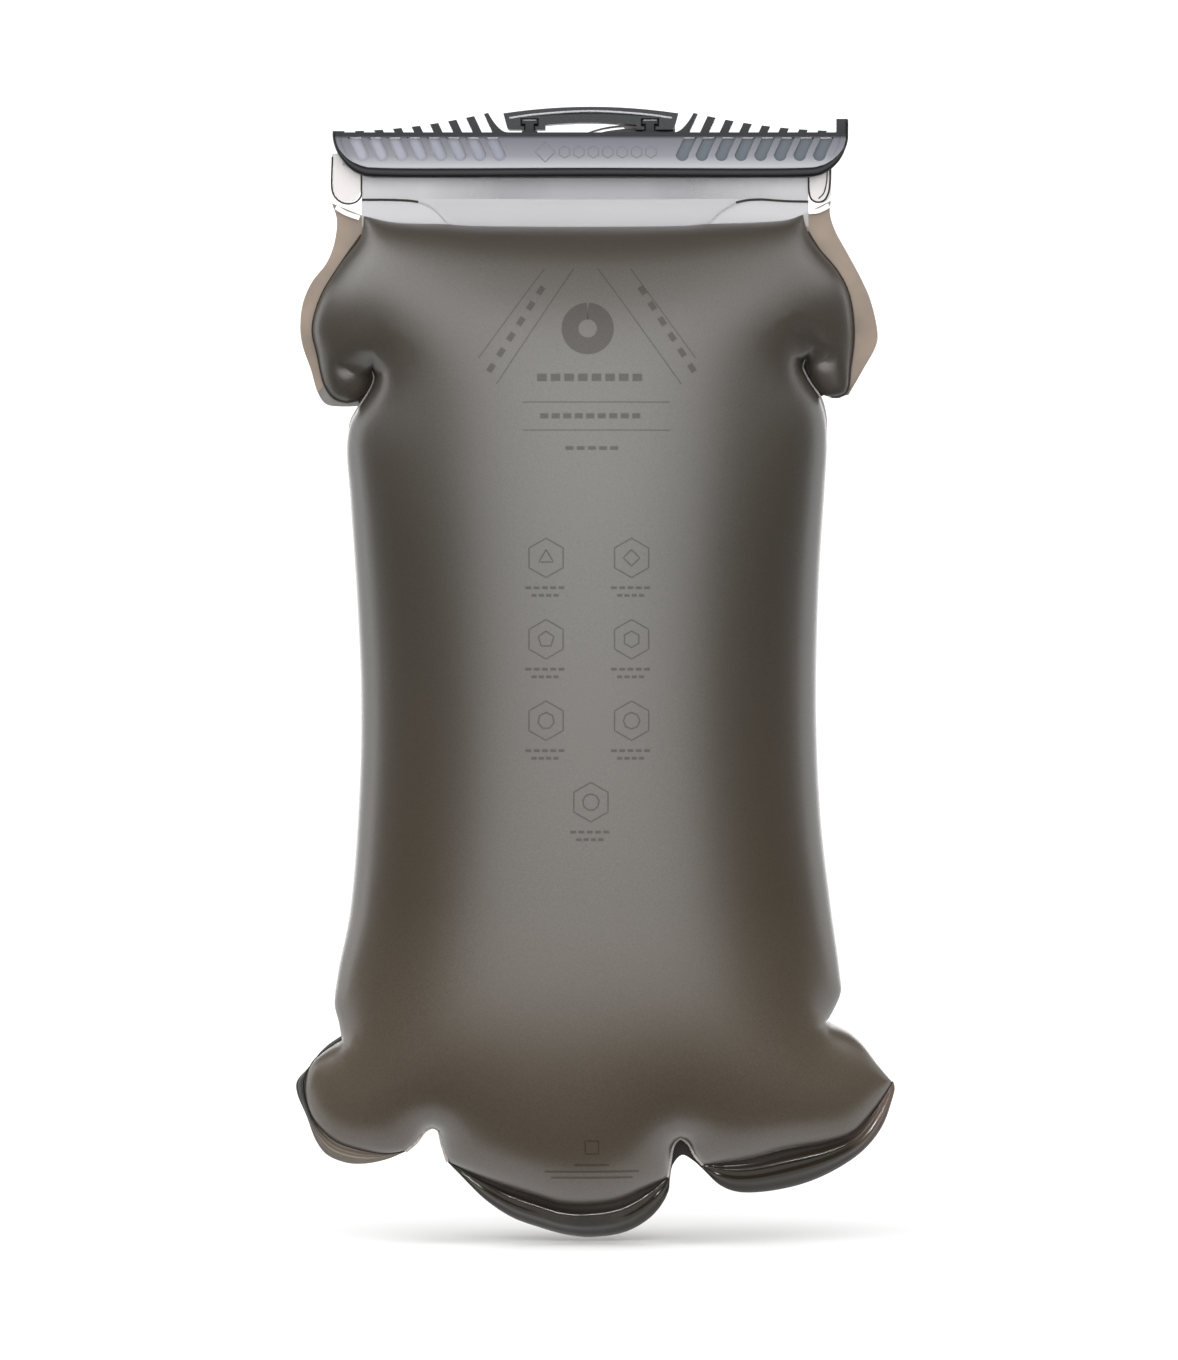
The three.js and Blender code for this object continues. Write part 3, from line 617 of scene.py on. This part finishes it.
def loft(name, inner, outer, profile, material, columns=10, far=1.0):
    """A strip from behind one curve towards another; profile gives its depth across and along."""
    a, b = resample(spline(inner, 1.0), WELD_ROWS), resample(spline(outer, 1.0), WELD_ROWS)
    verts, faces = [], []
    for i in range(WELD_ROWS):
        width = np.linalg.norm(b[i] - a[i])
        near = -WELD_LAP / max(width, 1.0)
        for j in range(columns + 1):
            s = near + (far - near) * j / columns
            x, z = a[i] * (1 - s) + b[i] * s
            verts.append(place(x, profile(s, width, i / (WELD_ROWS - 1)), z))
    for i in range(WELD_ROWS - 1):
        for j in range(columns):
            k = i * (columns + 1) + j
            faces.append((k, k + 1, k + columns + 2, k + columns + 1))
    return ride(new_object(name, verts, faces, material), "bag")


RIDGES = 3.2  # ridges pressed across the full width of the weld
RIDGE_HEIGHT = 0.24
LOBE_BULGE = 2.6  # how far a filled lobe pushes its weld forward
CURL = 0.45  # how far the free edge curls back, as a share of the weld's width
WELD_START_Y = -0.35


def ribbed(s, width, t):
    """The bottom weld is pushed out in the middle, curls back under the bag and carries ridges."""
    across = max(0, min(1, s))
    bulge = LOBE_BULGE * math.sin(math.pi * t) * math.sin(math.pi * across) * min(1, width / 8)
    ridge = RIDGE_HEIGHT * min(1, width / 5) * math.cos(2 * math.pi * RIDGES * across)
    return CURL * width * across**1.7 - bulge - ridge + WELD_START_Y


def flat_weld(s, width, t):
    """The upper welds lean back a little towards their free edge."""
    return 0.1 * width * max(0, s) - 0.3


TUCK_Y = 0.6  # the dark film inside a fold, coloured as painted shade, lies just behind the seam plane


def tucked(s, width, t):
    """The strip of back film seen under the fold between two lobes, dark as painted shade."""
    return TUCK_Y


TUCKS = {  # corners of the dark film seen inside each pinch, a sheet of painted shade
    "left": [
        (-76.6, 267), (-73.9, 266), (-71, 270), (-69, 273.2), (-68.8, 276.4), (-70, 278.2),
        (-71.6, 275), (-74.6, 271),
    ],
    "right": [
        (73.4, 269.2), (75, 270), (72.4, 274), (69.8, 278), (68.6, 282), (67, 279.4), (68, 276),
        (70.4, 272.4),
    ],
}


def foot(s, width, t):
    """The grey foot of the left ear's weld lies in front of the weld itself."""
    return -0.75


def shaded(s, width, t):
    """Painted shade under the film's edge, laid on the first part of a ribbed weld."""
    return ribbed(s, width, t) - 0.25


def make_welds():
    """The flat strips outside the film; returns the glossy ones along the bottom."""
    loft("weld_left_ear", LEFT_EAR, WELD_LEFT_EAR, flat_weld, PALE)
    loft("weld_left_ear_foot", LEFT_EAR[6:], WELD_LEFT_EAR[9:], foot, GREY)
    loft("weld_right_ear", RIGHT_EAR[1:], WELD_RIGHT_EAR, flat_weld, PALE)
    loft("weld_low_left", LOW_LEFT_EAR, WELD_LOW_LEFT, ribbed, BROWN, 28)
    middle = loft("weld_middle", MIDDLE_LOBE, WELD_MIDDLE, ribbed, WELD, 28)
    low_right = loft("weld_low_right", LOW_RIGHT_EAR, WELD_LOW_RIGHT, ribbed, WELD_END, 28)
    # painted shade: dark strips along the top of the bottom welds, under the film's edge
    loft("seam_shade_middle", MIDDLE_LOBE, WELD_MIDDLE, shaded, DARK_LINE_AND_SHADE, 8, 0.26)
    loft("seam_shade_low_right", LOW_RIGHT_EAR, WELD_LOW_RIGHT, shaded, DARK_LINE_AND_SHADE, 8, 0.14)
    # painted shade: dark sheets for the back film in the shade of the notch and the pinches
    loft("weld_notch", RIGHT_NOTCH, WELD_NOTCH, tucked, DARK_LINE_AND_SHADE)
    for side, corners in TUCKS.items():
        verts = [place(x, TUCK_Y, z) for x, z in corners]
        ride(new_object("tuck_" + side, verts, [tuple(range(len(verts)))], DARK_LINE_AND_SHADE), "bag")
    return [middle, low_right]


def side_of(path):
    """The unit direction to the left of the path at each of its points."""
    tangent = np.gradient(path, axis=0)
    side = np.stack([-tangent[:, 1], tangent[:, 0]], axis=1)
    return side / np.linalg.norm(side, axis=1)[:, None]


def strip(path, width, lay):
    """Points and faces of a flat band along a path in (x, height); lay puts each point in space."""
    path = np.array(path, float)
    verts = []
    for p, n in zip(path, side_of(path)):
        verts += [lay(*(p + n * width / 2)), lay(*(p - n * width / 2))]
    faces = [(2 * i, 2 * i + 1, 2 * i + 3, 2 * i + 2) for i in range(len(path) - 1)]
    return verts, faces


def flat_lay(y):
    """A lay for strip() that puts every point at the depth y."""

    def lay(x, z):
        return place(x, y, z)

    return lay


def polygon(x, z, radius, sides, start=90):
    """Corners of a regular polygon, closed, with the first one at the given angle."""
    turns = [math.radians(start + 360 * k / sides) for k in range(sides + 1)]
    return [(x + radius * math.cos(t), z + radius * math.sin(t)) for t in turns]


def subdivide(points, step=1.0):
    """The same straight strokes with a point at about every step."""
    out = [points[0]]
    for (x0, z0), (x1, z1) in zip(points, points[1:]):
        count = max(1, int(math.hypot(x1 - x0, z1 - z0) / step))
        out += [(x0 + (x1 - x0) * k / count, z0 + (z1 - z0) * k / count) for k in range(1, count + 1)]
    return out


def joined_strips(strokes, lay):
    """Points and faces of many flat bands at once; each stroke is its points and its width."""
    verts, faces = [], []
    for points, width in strokes:
        part, quads = strip(subdivide(points), width, lay)
        faces += [tuple(i + len(verts) for i in quad) for quad in quads]
        verts += part
    return verts, faces


BAND_STEP = 0.7
SEAM_LINE_Y = -1.25


def band(name, points, width, y, material):
    """A flat band of the bag along a smooth curve, at the depth y."""
    verts, faces = strip(spline(points, BAND_STEP), width, flat_lay(y))
    return ride(new_object(name, verts, faces, material), "bag")


def make_seam_lines():
    """Dark lines along the edge of the film, just in front of it."""
    for name, points, width in (
        ("seam_line_left", LEFT_EAR[1:], 0.7), ("seam_line_right", RIGHT_EAR[1:-1], 0.9),
        ("seam_line_low_left", LOW_LEFT_EAR, 0.5), ("seam_line_middle", MIDDLE_LOBE, 0.6),
        ("seam_line_low_right", LOW_RIGHT_EAR, 0.5),
    ):
        band(name, points, width, SEAM_LINE_Y, DARK_LINE_AND_SHADE)


# --- neck and end tabs --------------------------------------------------------------------
LEFT_TAB = [
    (-82.7, 346), (-82.7, 335), (-81.6, 332.8), (-79.6, 331.3), (-77.4, 330.9), (-75, 331.6),
    (-73.5, 333.4), (-73.4, 336), (-73.4, 344),
]
RIGHT_TAB = [
    (69.7, 344), (69.8, 334.6), (70.6, 332.3), (72.6, 331.4), (74.6, 332), (76, 334.4), (76.5, 338),
    (76.5, 346),
]
RIGHT_TAB_INNER = [(75.6, 344), (75.4, 338), (74.4, 334.2), (72.8, 332.6)]
LIP_LEFT = [(-73.2, 332.2), (-66, 332.2), (-58, 331.9), (-55.2, 331.5)]
LIP_LEFT_SLANT = [(-55.2, 331.5), (-51, 329.6), (-46.4, 325.4), (-44, 323.6)]
LIP_RIGHT = [(69.6, 331.6), (62, 331.8), (54, 332.3), (49.5, 332), (46.4, 331.3)]
LIP_RIGHT_SLANT = [(46.4, 331.3), (42, 328.6), (38.6, 325.6), (37, 324)]

NECK_LINE_Y = -0.95  # the neck's lines, painted reflections and painted glints lie at these depths before its film
CLIP_REFLECTION_Y = -0.85
EAR_GLINT_Y = -1.2
RAIL_Y = -2.9
RAIL_BOTTOM, RAIL_TOP = 343, 351.7


def make_neck():
    """Edges of the tabs and lips, the painted reflection of the clip on the folded lip, painted glints on the
    ear welds, and the rail behind the clip's slots.
    """
    for name, points, width, material in (
        ("tab_line_left", LEFT_TAB, 0.55, DARK_LINE_AND_SHADE), ("tab_line_right", RIGHT_TAB, 0.6, DARK_LINE_AND_SHADE),
        ("tab_line_inner", RIGHT_TAB_INNER, 0.4, DARK_LINE_AND_SHADE), ("lip_line_left", LIP_LEFT, 0.75, DARK_LINE_AND_SHADE),
        ("lip_line_right", LIP_RIGHT, 0.75, DARK_LINE_AND_SHADE), ("lip_slant_left", LIP_LEFT_SLANT, 0.35, SOFT_LINE),
        ("lip_slant_right", LIP_RIGHT_SLANT, 0.35, SOFT_LINE),
    ):
        band(name, points, width, NECK_LINE_Y, material)
    # painted reflection: grey bands across the clear lip where the dark clip is reflected
    for name, middle, height in (("lip_clip_reflection_low", 334, 3), ("lip_clip_reflection_high", 338.5, 6)):
        band(name, [(-64, middle), (0, middle), (67, middle)], height, CLIP_REFLECTION_Y, CLIP_REFLECTION)
    # painted highlights: white glints on the welds below the tabs
    band("ear_glint_left", [(-81.6, 329.8), (-78.5, 328), (-74, 326.4)], 1.5, EAR_GLINT_Y, GLINT)
    band("ear_glint_right", [(69.6, 328.4), (72.5, 328.6), (76.2, 330.4)], 1.5, EAR_GLINT_Y, GLINT)
    middle = (RAIL_TOP + RAIL_BOTTOM) / 2
    ends = [(-79.4, middle), (0, middle), (77.4, middle)]
    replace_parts(band("rail_seen", ends, RAIL_TOP - RAIL_BOTTOM, RAIL_Y, RAIL), "front_rail")


# --- clip and handle ----------------------------------------------------------------------
def tube_faces(steps, sides):
    """Faces of a capped tube, facing out, whose points come in rows of the given number of sides."""
    faces = []
    for i in range(steps):
        for k in range(sides):
            a, b = i * sides + k, i * sides + (k + 1) % sides
            faces.append((a, a + sides, b + sides, b))
    faces.append(tuple(range(sides)))
    faces.append(tuple(steps * sides + k for k in reversed(range(sides))))
    return faces


PIPE_SIDES = 12


def pipe(name, points, half_height, half_depth, y, material, body):
    """A rounded bead along a path in the front plane; half_height is a number or depends on z."""
    path = spline(points, 1.0)
    verts = []
    for p, n in zip(path, side_of(path)):
        half = half_height(p[1]) if callable(half_height) else half_height
        for k in range(PIPE_SIDES):
            turn = 2 * math.pi * k / PIPE_SIDES
            at = p + n * half * math.cos(turn)
            verts.append(place(at[0], y + half_depth * math.sin(turn), at[1]))
    faces = tube_faces(len(path) - 1, PIPE_SIDES)
    return ride(new_object(name, verts, faces, material), body)


CLIP_FRONT_Y = -5.15
MARK_LIFT = 0.06  # how far the embossed row stands off the clip's face
STRAP_WEB_Y, STRAP_TAB_Y = 4.55, 4.6
HANDLE_GLINT_Y = -1.9
POST_GLINT_Y, POST_GLINT_Z, POST_GLINT_HALF = -0.7, 357.7, 2.2
BEAD_PATH = [
    (-82.1, 353.6), (-81.7, 350.4), (-80.1, 346.8), (-77, 343.4), (-72.8, 341.2), (-68, 340.7), (0, 340.7),
    (68, 340.7), (72.8, 341.2), (77, 343.4), (80.1, 346.8), (81.6, 350.4), (81.8, 353.6), (81.8, 357.4),
]
HANDLE_GLINT = [(-26, 358.3), (-18, 359.4), (0, 360.5), (18, 359.4), (26, 358.3)]
STRAP_WEB = [(0.4, 353.4), (27, 353.4), (27, 355.6), (20, 355.8), (11, 355.4), (5, 354.6)]
STRAP_TAB = [(8, 357), (11, 355.4), (20, 355.8), (27, 355.6), (27, 358.6)]


def bead_half(z):
    """The bead is full along the bottom and thins to a line up both ends."""
    return 1.45 - 1.05 * min(1, max(0, (z - 341) / 7))


def rim_half(z):
    """A pinch's rim, with its painted rim light, fades out down the side of the bag."""
    return 0.5 * min(1, max(0.04, (z - 255) / 10))


def make_rims():
    """Rounded edges of the film over the folds of the pinches and notches, pale with painted rim light and
    painted crest highlights.
    """
    for name, points, half, material in (
        ("rim_left", [(-73.4, 278.6), (-71.6, 279)] + LEFT_TUCK_BODY + LEFT_SIDE[1:3], rim_half, PAINTED_RIM_LIGHT),
        ("rim_right", RIGHT_SIDE[-3:] + RIGHT_TUCK_BODY[1:] + [(69.6, 282.2)], rim_half, PAINTED_RIM_LIGHT),
        ("crest_left_notch", LEFT_NOTCH, 0.8, PAINTED_CREST_HIGHLIGHT),
        ("crest_right_notch", RIGHT_NOTCH, 0.7, PAINTED_CREST_HIGHLIGHT),
    ):
        pipe(name, points, half, 0.5, -EDGE_LIFT, material, "bag")


MARK_Z = 347.2  # height of the plain embossed row in the middle of the clip's face
MARK_PITCH = 4.6
MARK_LINE = 0.4


def make_clip_mark():
    """A plain embossed row: one diamond and seven hexagons."""
    strokes = [(polygon(-14.6, MARK_Z, 3.2, 4), MARK_LINE)]
    strokes += [(polygon(-8.4 + MARK_PITCH * k, MARK_Z, 1.9, 6), MARK_LINE) for k in range(7)]
    verts, faces = joined_strips(strokes, flat_lay(CLIP_FRONT_Y - MARK_LIFT))
    ride(new_object("clip_mark", verts, faces, MARK), "clip")


def make_clip_trim():
    """The clip's bead, the painted highlights on handle and posts, and the tinted strap behind the handle."""
    pipe("clip_bead", BEAD_PATH, bead_half, 1.0, CLIP_FRONT_Y - 0.5, BEAD, "clip")
    pipe("handle_glint", HANDLE_GLINT, 0.36, 0.3, HANDLE_GLINT_Y, PAINTED_HIGHLIGHT, "handle")
    for name, x in (("post_glint_left", -19.6), ("post_glint_right", 18.9)):
        ends = [(x + side * POST_GLINT_HALF, POST_GLINT_Z) for side in (-1, 0, 1)]
        pipe(name, ends, 0.22, 0.2, POST_GLINT_Y, PAINTED_HIGHLIGHT, "clip")
    for name, corners, y, material in (
        ("strap_web", STRAP_WEB, STRAP_WEB_Y, STRAP), ("strap_tab", STRAP_TAB, STRAP_TAB_Y, STRAP_FILM),
    ):
        verts = [place(x, y, z) for x, z in corners]
        ride(new_object(name, verts, [tuple(range(len(verts)))], material), "clip")


# --- springs ------------------------------------------------------------------------------
COIL_SIDES = 8
COIL_STEPS = 20  # steps in each turn
SPRINGS = [  # piece, CAD spring, axis, wire in mm, turns, the joint that squeezes it and its stroke
    ("valve_coil", "valve_spring", 2, 0.6, 4, "valve_open", 3.0),
    ("latch_coil", "latch_spring", 1, 0.35, 3, "release_button_press", 1.2),
]


def coil_points(middle, radius, start, end, axis, wire, turns):
    """Points of a coil of round wire about an axis of the frame, in rows round the wire."""
    first, second = [k for k in range(3) if k != axis]
    upward = np.eye(3)[axis]
    count = turns * COIL_STEPS
    points = []
    for i in range(count + 1):
        turn = 2 * math.pi * i / COIL_STEPS
        outward = math.cos(turn) * np.eye(3)[first] + math.sin(turn) * np.eye(3)[second]
        centre = middle + radius * outward
        centre[axis] = start + (end - start) * i / count
        for k in range(COIL_SIDES):
            around = 2 * math.pi * k / COIL_SIDES
            points.append(centre + wire * MM / 2 * (math.cos(around) * outward + math.sin(around) * upward))
    return points


def make_spring(name, cad_node, axis, wire, turns, joint, stroke):
    """A coil in a CAD spring's place."""
    low, high = (np.array(corner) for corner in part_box(cad_node))
    middle = (low + high) / 2
    across = [k for k in range(3) if k != axis][0]
    radius = (high[across] - low[across] - wire * MM) / 2
    start, end = low[axis] + wire * MM / 2, high[axis] - wire * MM / 2
    verts = coil_points(middle, radius, start, end, axis, wire, turns)
    faces = tube_faces(turns * COIL_STEPS, COIL_SIDES)
    if axis == 1:  # about this axis the turns run the other way, so the faces would look inwards
        faces = [face[::-1] for face in faces]
    spring = ride(new_object(name, verts, faces, SPRING), "bag")
    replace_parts(spring, cad_node)
    anchor = middle.copy()
    anchor[axis] = low[axis]
    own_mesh(spring)


# --- print on the front film --------------------------------------------------------------
HEXAGONS = [
    (-14.1, 217), (12.8, 217), (-14.1, 191.4), (12.8, 191.4), (-14.1, 165.8), (12.8, 165.8),
    (0, 140.2),
]
HEXAGON_R = 6.2
RULE_WIDTH = 0.35
BAR_SHARE = 0.72  # the part of each pitch that its bar fills
INK_LIFT = 0.00006  # metres between the print and the film


def dashes(x, z, half, count, width):
    """A row of short plain bars, centred on x, with gaps between them."""
    pitch = 2 * half / count
    starts = [x - half + k * pitch for k in range(count)]
    return [([(a, z), (a + BAR_SHARE * pitch, z)], width) for a in starts]


def print_strokes():
    """Every printed line as its points and width: plain rules, rings, hexagons and bars."""
    strokes = []
    for start, end in (
        ((-14.7, 309), (-35.5, 280.3)), ((-5.4, 309), (-29.8, 272)), ((2.2, 309), (28.5, 272)),
        ((12.5, 309), (33, 280.3)), ((-21.5, 266.2), (24.8, 266.2)), ((-21.5, 257.3), (24.8, 257.3)),
    ):
        strokes.append(([start, end], RULE_WIDTH))
    strokes.append((polygon(-1, 289.6, 5.6, 28), 5.4))
    strokes += dashes(0.2, 274, 17.2, 8, 2.4)
    strokes += dashes(0.3, 261.8, 16.3, 9, 1.7)
    strokes += dashes(0.8, 251.6, 8.8, 5, 1.2)
    for k in range(6):
        t = 0.12 + 0.15 * k
        x, z = -12.6 - 20.8 * t, 307 - 33 * t
        strokes.append(([(x, z), (x - 1.6, z - 2.4)], 1.9))
        strokes.append(([(0.4 - x, z), (2 - x, z - 2.4)], 1.9))
    for index, (x, z) in enumerate(HEXAGONS):
        strokes.append((polygon(x, z, HEXAGON_R, 6), 0.45))
        strokes.append((polygon(x, z, 2.6, 3 + index), 0.5))
        strokes += dashes(x, z - 9.4, 6.5, 5, 0.9)
        strokes += dashes(x, z - 11.8, 4.6, 4, 0.9)
    strokes.append((polygon(0.3, 30.4, 3, 4, 45), 0.5))
    for z, half in ((24.6, 5.5), (22.4, 15), (20.4, 13)):
        strokes.append(([(0.3 - half, z), (0.3 + half, z)], 0.7))
    return strokes


def make_print(surface):
    """The print, laid on the front film by casting each point on to it."""

    def drape(x, z):
        origin = Vector(place(x, -DEPTH - 20, z))
        hit = surface.ray_cast(origin, Vector((0, 1, 0)))[0]
        return (hit.x, hit.y - INK_LIFT, hit.z)

    verts, faces = joined_strips(print_strokes(), drape)
    ride(new_object("print", verts, faces, INK), "bag")


# --- stage --------------------------------------------------------------------------------
VIEW_HEIGHT = 0.4352  # height that the picture takes in at the object, m
CAMERA_DISTANCE = 2.4  # m
CAMERA_X = -0.0006  # m
CAMERA_Z = 178.6  # mm over the bag's lowest point
SENSOR = 36.0  # mm


def make_camera():
    """A camera straight in front of the bag, level, with a long lens."""
    data = bpy.data.cameras.new("camera")
    data.sensor_width = SENSOR
    data.sensor_fit = "AUTO"
    data.lens = SENSOR * CAMERA_DISTANCE / VIEW_HEIGHT
    data.clip_end = 50
    obj = bpy.data.objects.new("camera", data)
    obj.location = (CAMERA_X, SEAM_Y - CAMERA_DISTANCE, BASE_Z + CAMERA_Z * MM)
    obj.rotation_euler = (math.pi / 2, 0, 0)
    bpy.context.scene.collection.objects.link(obj)
    bpy.context.scene.camera = obj


def area_light(name, where, target, size, power):
    """A lamp that the camera doesn't see; places in mm, size in metres, power in watts."""
    data = bpy.data.lights.new(name, "AREA")
    data.shape = "RECTANGLE"
    data.size, data.size_y = size
    data.energy = power
    location, aim = Vector(place(*where)), Vector(place(*target))
    obj = bpy.data.objects.new(name, data)
    obj.location = location
    obj.rotation_euler = (aim - location).to_track_quat("-Z", "Y").to_euler()
    obj.visible_camera = False
    bpy.context.scene.collection.objects.link(obj)
    return obj


def link_lamp(lamp, objects, state="INCLUDE"):
    """Let the lamp light only these objects, or with EXCLUDE all but these."""
    receivers = bpy.data.collections.new(lamp.name + "_receivers")
    for obj in objects:
        receivers.objects.link(obj)
    for member in receivers.collection_objects:
        member.light_linking.link_state = state
    lamp.light_linking.receiver_collection = receivers


def glowing(name, strength):
    """A white material that gives off light."""
    mat = bpy.data.materials.new(name)
    mat.use_nodes = True
    tree = mat.node_tree
    tree.nodes.remove(shader_of(mat))
    glow = node(mat, "ShaderNodeEmission", Color=(1, 1, 1, 1), Strength=strength)
    link(mat, glow.outputs["Emission"], tree.nodes["Material Output"].inputs["Surface"])
    return mat


def hide_from(obj, *rays):
    """Hide the object from the named kinds of ray."""
    for ray in rays:
        setattr(obj, "visible_" + ray, False)


def stage_quad(name, corners, material, *hidden_rays):
    """A flat piece of the stage, its corners in mm."""
    obj = new_object(name, [place(*corner) for corner in corners], [(0, 1, 2, 3)], material)
    hide_from(obj, *hidden_rays)
    return obj


FLOOR_HALF_WIDTH = 1500
FLOOR_FRONT, FLOOR_BACK, FLOOR_Z = -900, 380, -1.5
GLOW_FRONT, GLOW_Z = -26, -4  # the floor that the film reflects starts behind its front and lies lower
ROOM = 5000  # half the width of the backdrop
WALL_Y = 6000
WALL_HALF_HEIGHT = 3000
WING_NEAR, WING_FAR = 1750, 2600  # brightest stretch of the side walls: only grazing reflections see it
SURROUND = 9000  # half the size of the white box that only the camera sees
BACKDROP_STRENGTH = 1.25  # also of the side walls beyond the wings
WING_LEFT_STRENGTH, WING_RIGHT_STRENGTH = 3.4, 2.2
FLOOR_GLOW_STRENGTH = 1.1
WORLD_STRENGTH = 0.045
LAMPS = [  # name, place, point that it faces, width and height in metres, power in watts
    ("front_softbox", (0, -1300, 400), (0, 0, 236), (1.8, 1.9), 24),
    ("back_softbox", (0, 1700, 700), (0, 0, 180), (2.0, 1.6), 26),
    ("chest_softbox", (0, -1300, 660), (0, 0, 236), (0.9, 0.9), 2.6),
    ("upper_softbox", (0, -800, 1500), (0, 0, 300), (1.2, 1.0), 3.4),
    ("upper_left", (-1150, -750, 1420), (0, 0, 300), (1.0, 1.2), 10),
    ("upper_right", (1150, -750, 1420), (0, 0, 300), (1.0, 1.2), 6),
    ("shoulder_left", (-1300, -100, 1300), (0, 0, 290), (0.8, 0.8), 5),
    ("shoulder_right", (1300, -100, 1300), (0, 0, 290), (0.8, 0.8), 3),
]
FLOOR_LAMP = ("floor_light", (0, 0, 1400), (0, 0, 0), (2.2, 2.2), 15)
GLINT_LAMPS = [  # small lamps beside the camera
    ("glint_middle", (12, -2300, 240), (6, 0, 10), (0.2, 0.12), 8),
    ("glint_right", (112, -2300, 240), (56, 0, 10), (0.2, 0.12), 8),
]


def level_corners(front, back, z):
    """Corners of a level rectangle as wide as the floor."""
    width = FLOOR_HALF_WIDTH
    return [(-width, front, z), (width, front, z), (width, back, z), (-width, back, z)]


def make_floor():
    """A white floor that only the camera sees, with a lamp for itself above it."""
    material = new_material("floor", (0.9, 0.9, 0.9), 0.9, Specular_IOR_Level=0.0)
    corners = level_corners(FLOOR_FRONT, FLOOR_BACK, FLOOR_Z)
    floor = stage_quad("floor", corners, material, "glossy", "diffuse", "transmission", "shadow")
    link_lamp(area_light(*FLOOR_LAMP), [floor])


def make_walls():
    """The glowing floor, backdrop and side walls that the film and the clip reflect."""
    tall = WALL_HALF_HEIGHT
    corners = [(-ROOM, WALL_Y, -tall), (ROOM, WALL_Y, -tall), (ROOM, WALL_Y, tall), (-ROOM, WALL_Y, tall)]
    stage_quad("backdrop", corners, glowing("backdrop", BACKDROP_STRENGTH), "diffuse")
    corners = level_corners(GLOW_FRONT, WALL_Y, GLOW_Z)
    hidden = ("camera", "diffuse", "shadow", "transmission")
    stage_quad("floor_glow", corners, glowing("floor_glow", FLOOR_GLOW_STRENGTH), *hidden)
    for x, wing_strength in ((-ROOM, WING_LEFT_STRENGTH), (ROOM, WING_RIGHT_STRENGTH)):
        for name, near, far, strength in (
            ("wing", WING_NEAR, WING_FAR, wing_strength),
            ("side_wall", WING_FAR, WALL_Y, BACKDROP_STRENGTH),
        ):
            corners = [(x, far, -tall), (x, near, -tall), (x, near, tall), (x, far, tall)]
            stage_quad(name, corners, glowing(name, strength), "diffuse")


def make_surround():
    """A white box round everything, which only the camera sees."""
    bpy.ops.mesh.primitive_cube_add(size=2 * SURROUND * MM)
    surround = bpy.context.object
    surround.name = "surround"
    surround.data.materials.append(glowing("surround", 1.0))
    hide_from(surround, "glossy", "diffuse", "transmission", "shadow")


def make_world():
    """A faint even fill, and colours shown as they are."""
    world = bpy.data.worlds.new("world")
    world.use_nodes = True
    background = world.node_tree.nodes["Background"]
    background.inputs["Color"].default_value = (1, 1, 1, 1)
    background.inputs["Strength"].default_value = WORLD_STRENGTH
    bpy.context.scene.world = world
    bpy.context.scene.view_settings.view_transform = "Standard"


def make_stage():
    """Everything round the bag: floor, walls, white surround, lamps and world."""
    make_floor()
    make_walls()
    make_surround()
    for lamp in LAMPS:
        area_light(*lamp)
    make_world()


def make_glints(welds):
    """The small lamps light only the glossy bottom welds, and the front softbox leaves them out."""
    for lamp in GLINT_LAMPS:
        link_lamp(area_light(*lamp), welds)
    link_lamp(bpy.data.objects["front_softbox"], welds, "EXCLUDE")


make_camera()
make_stage()
dress_nodes()
front_surface = make_bag()
make_glints(make_welds())
make_seam_lines()
make_rims()
make_neck()
make_clip_trim()
make_clip_mark()
for spring in SPRINGS:
    make_spring(*spring)
make_print(front_surface)
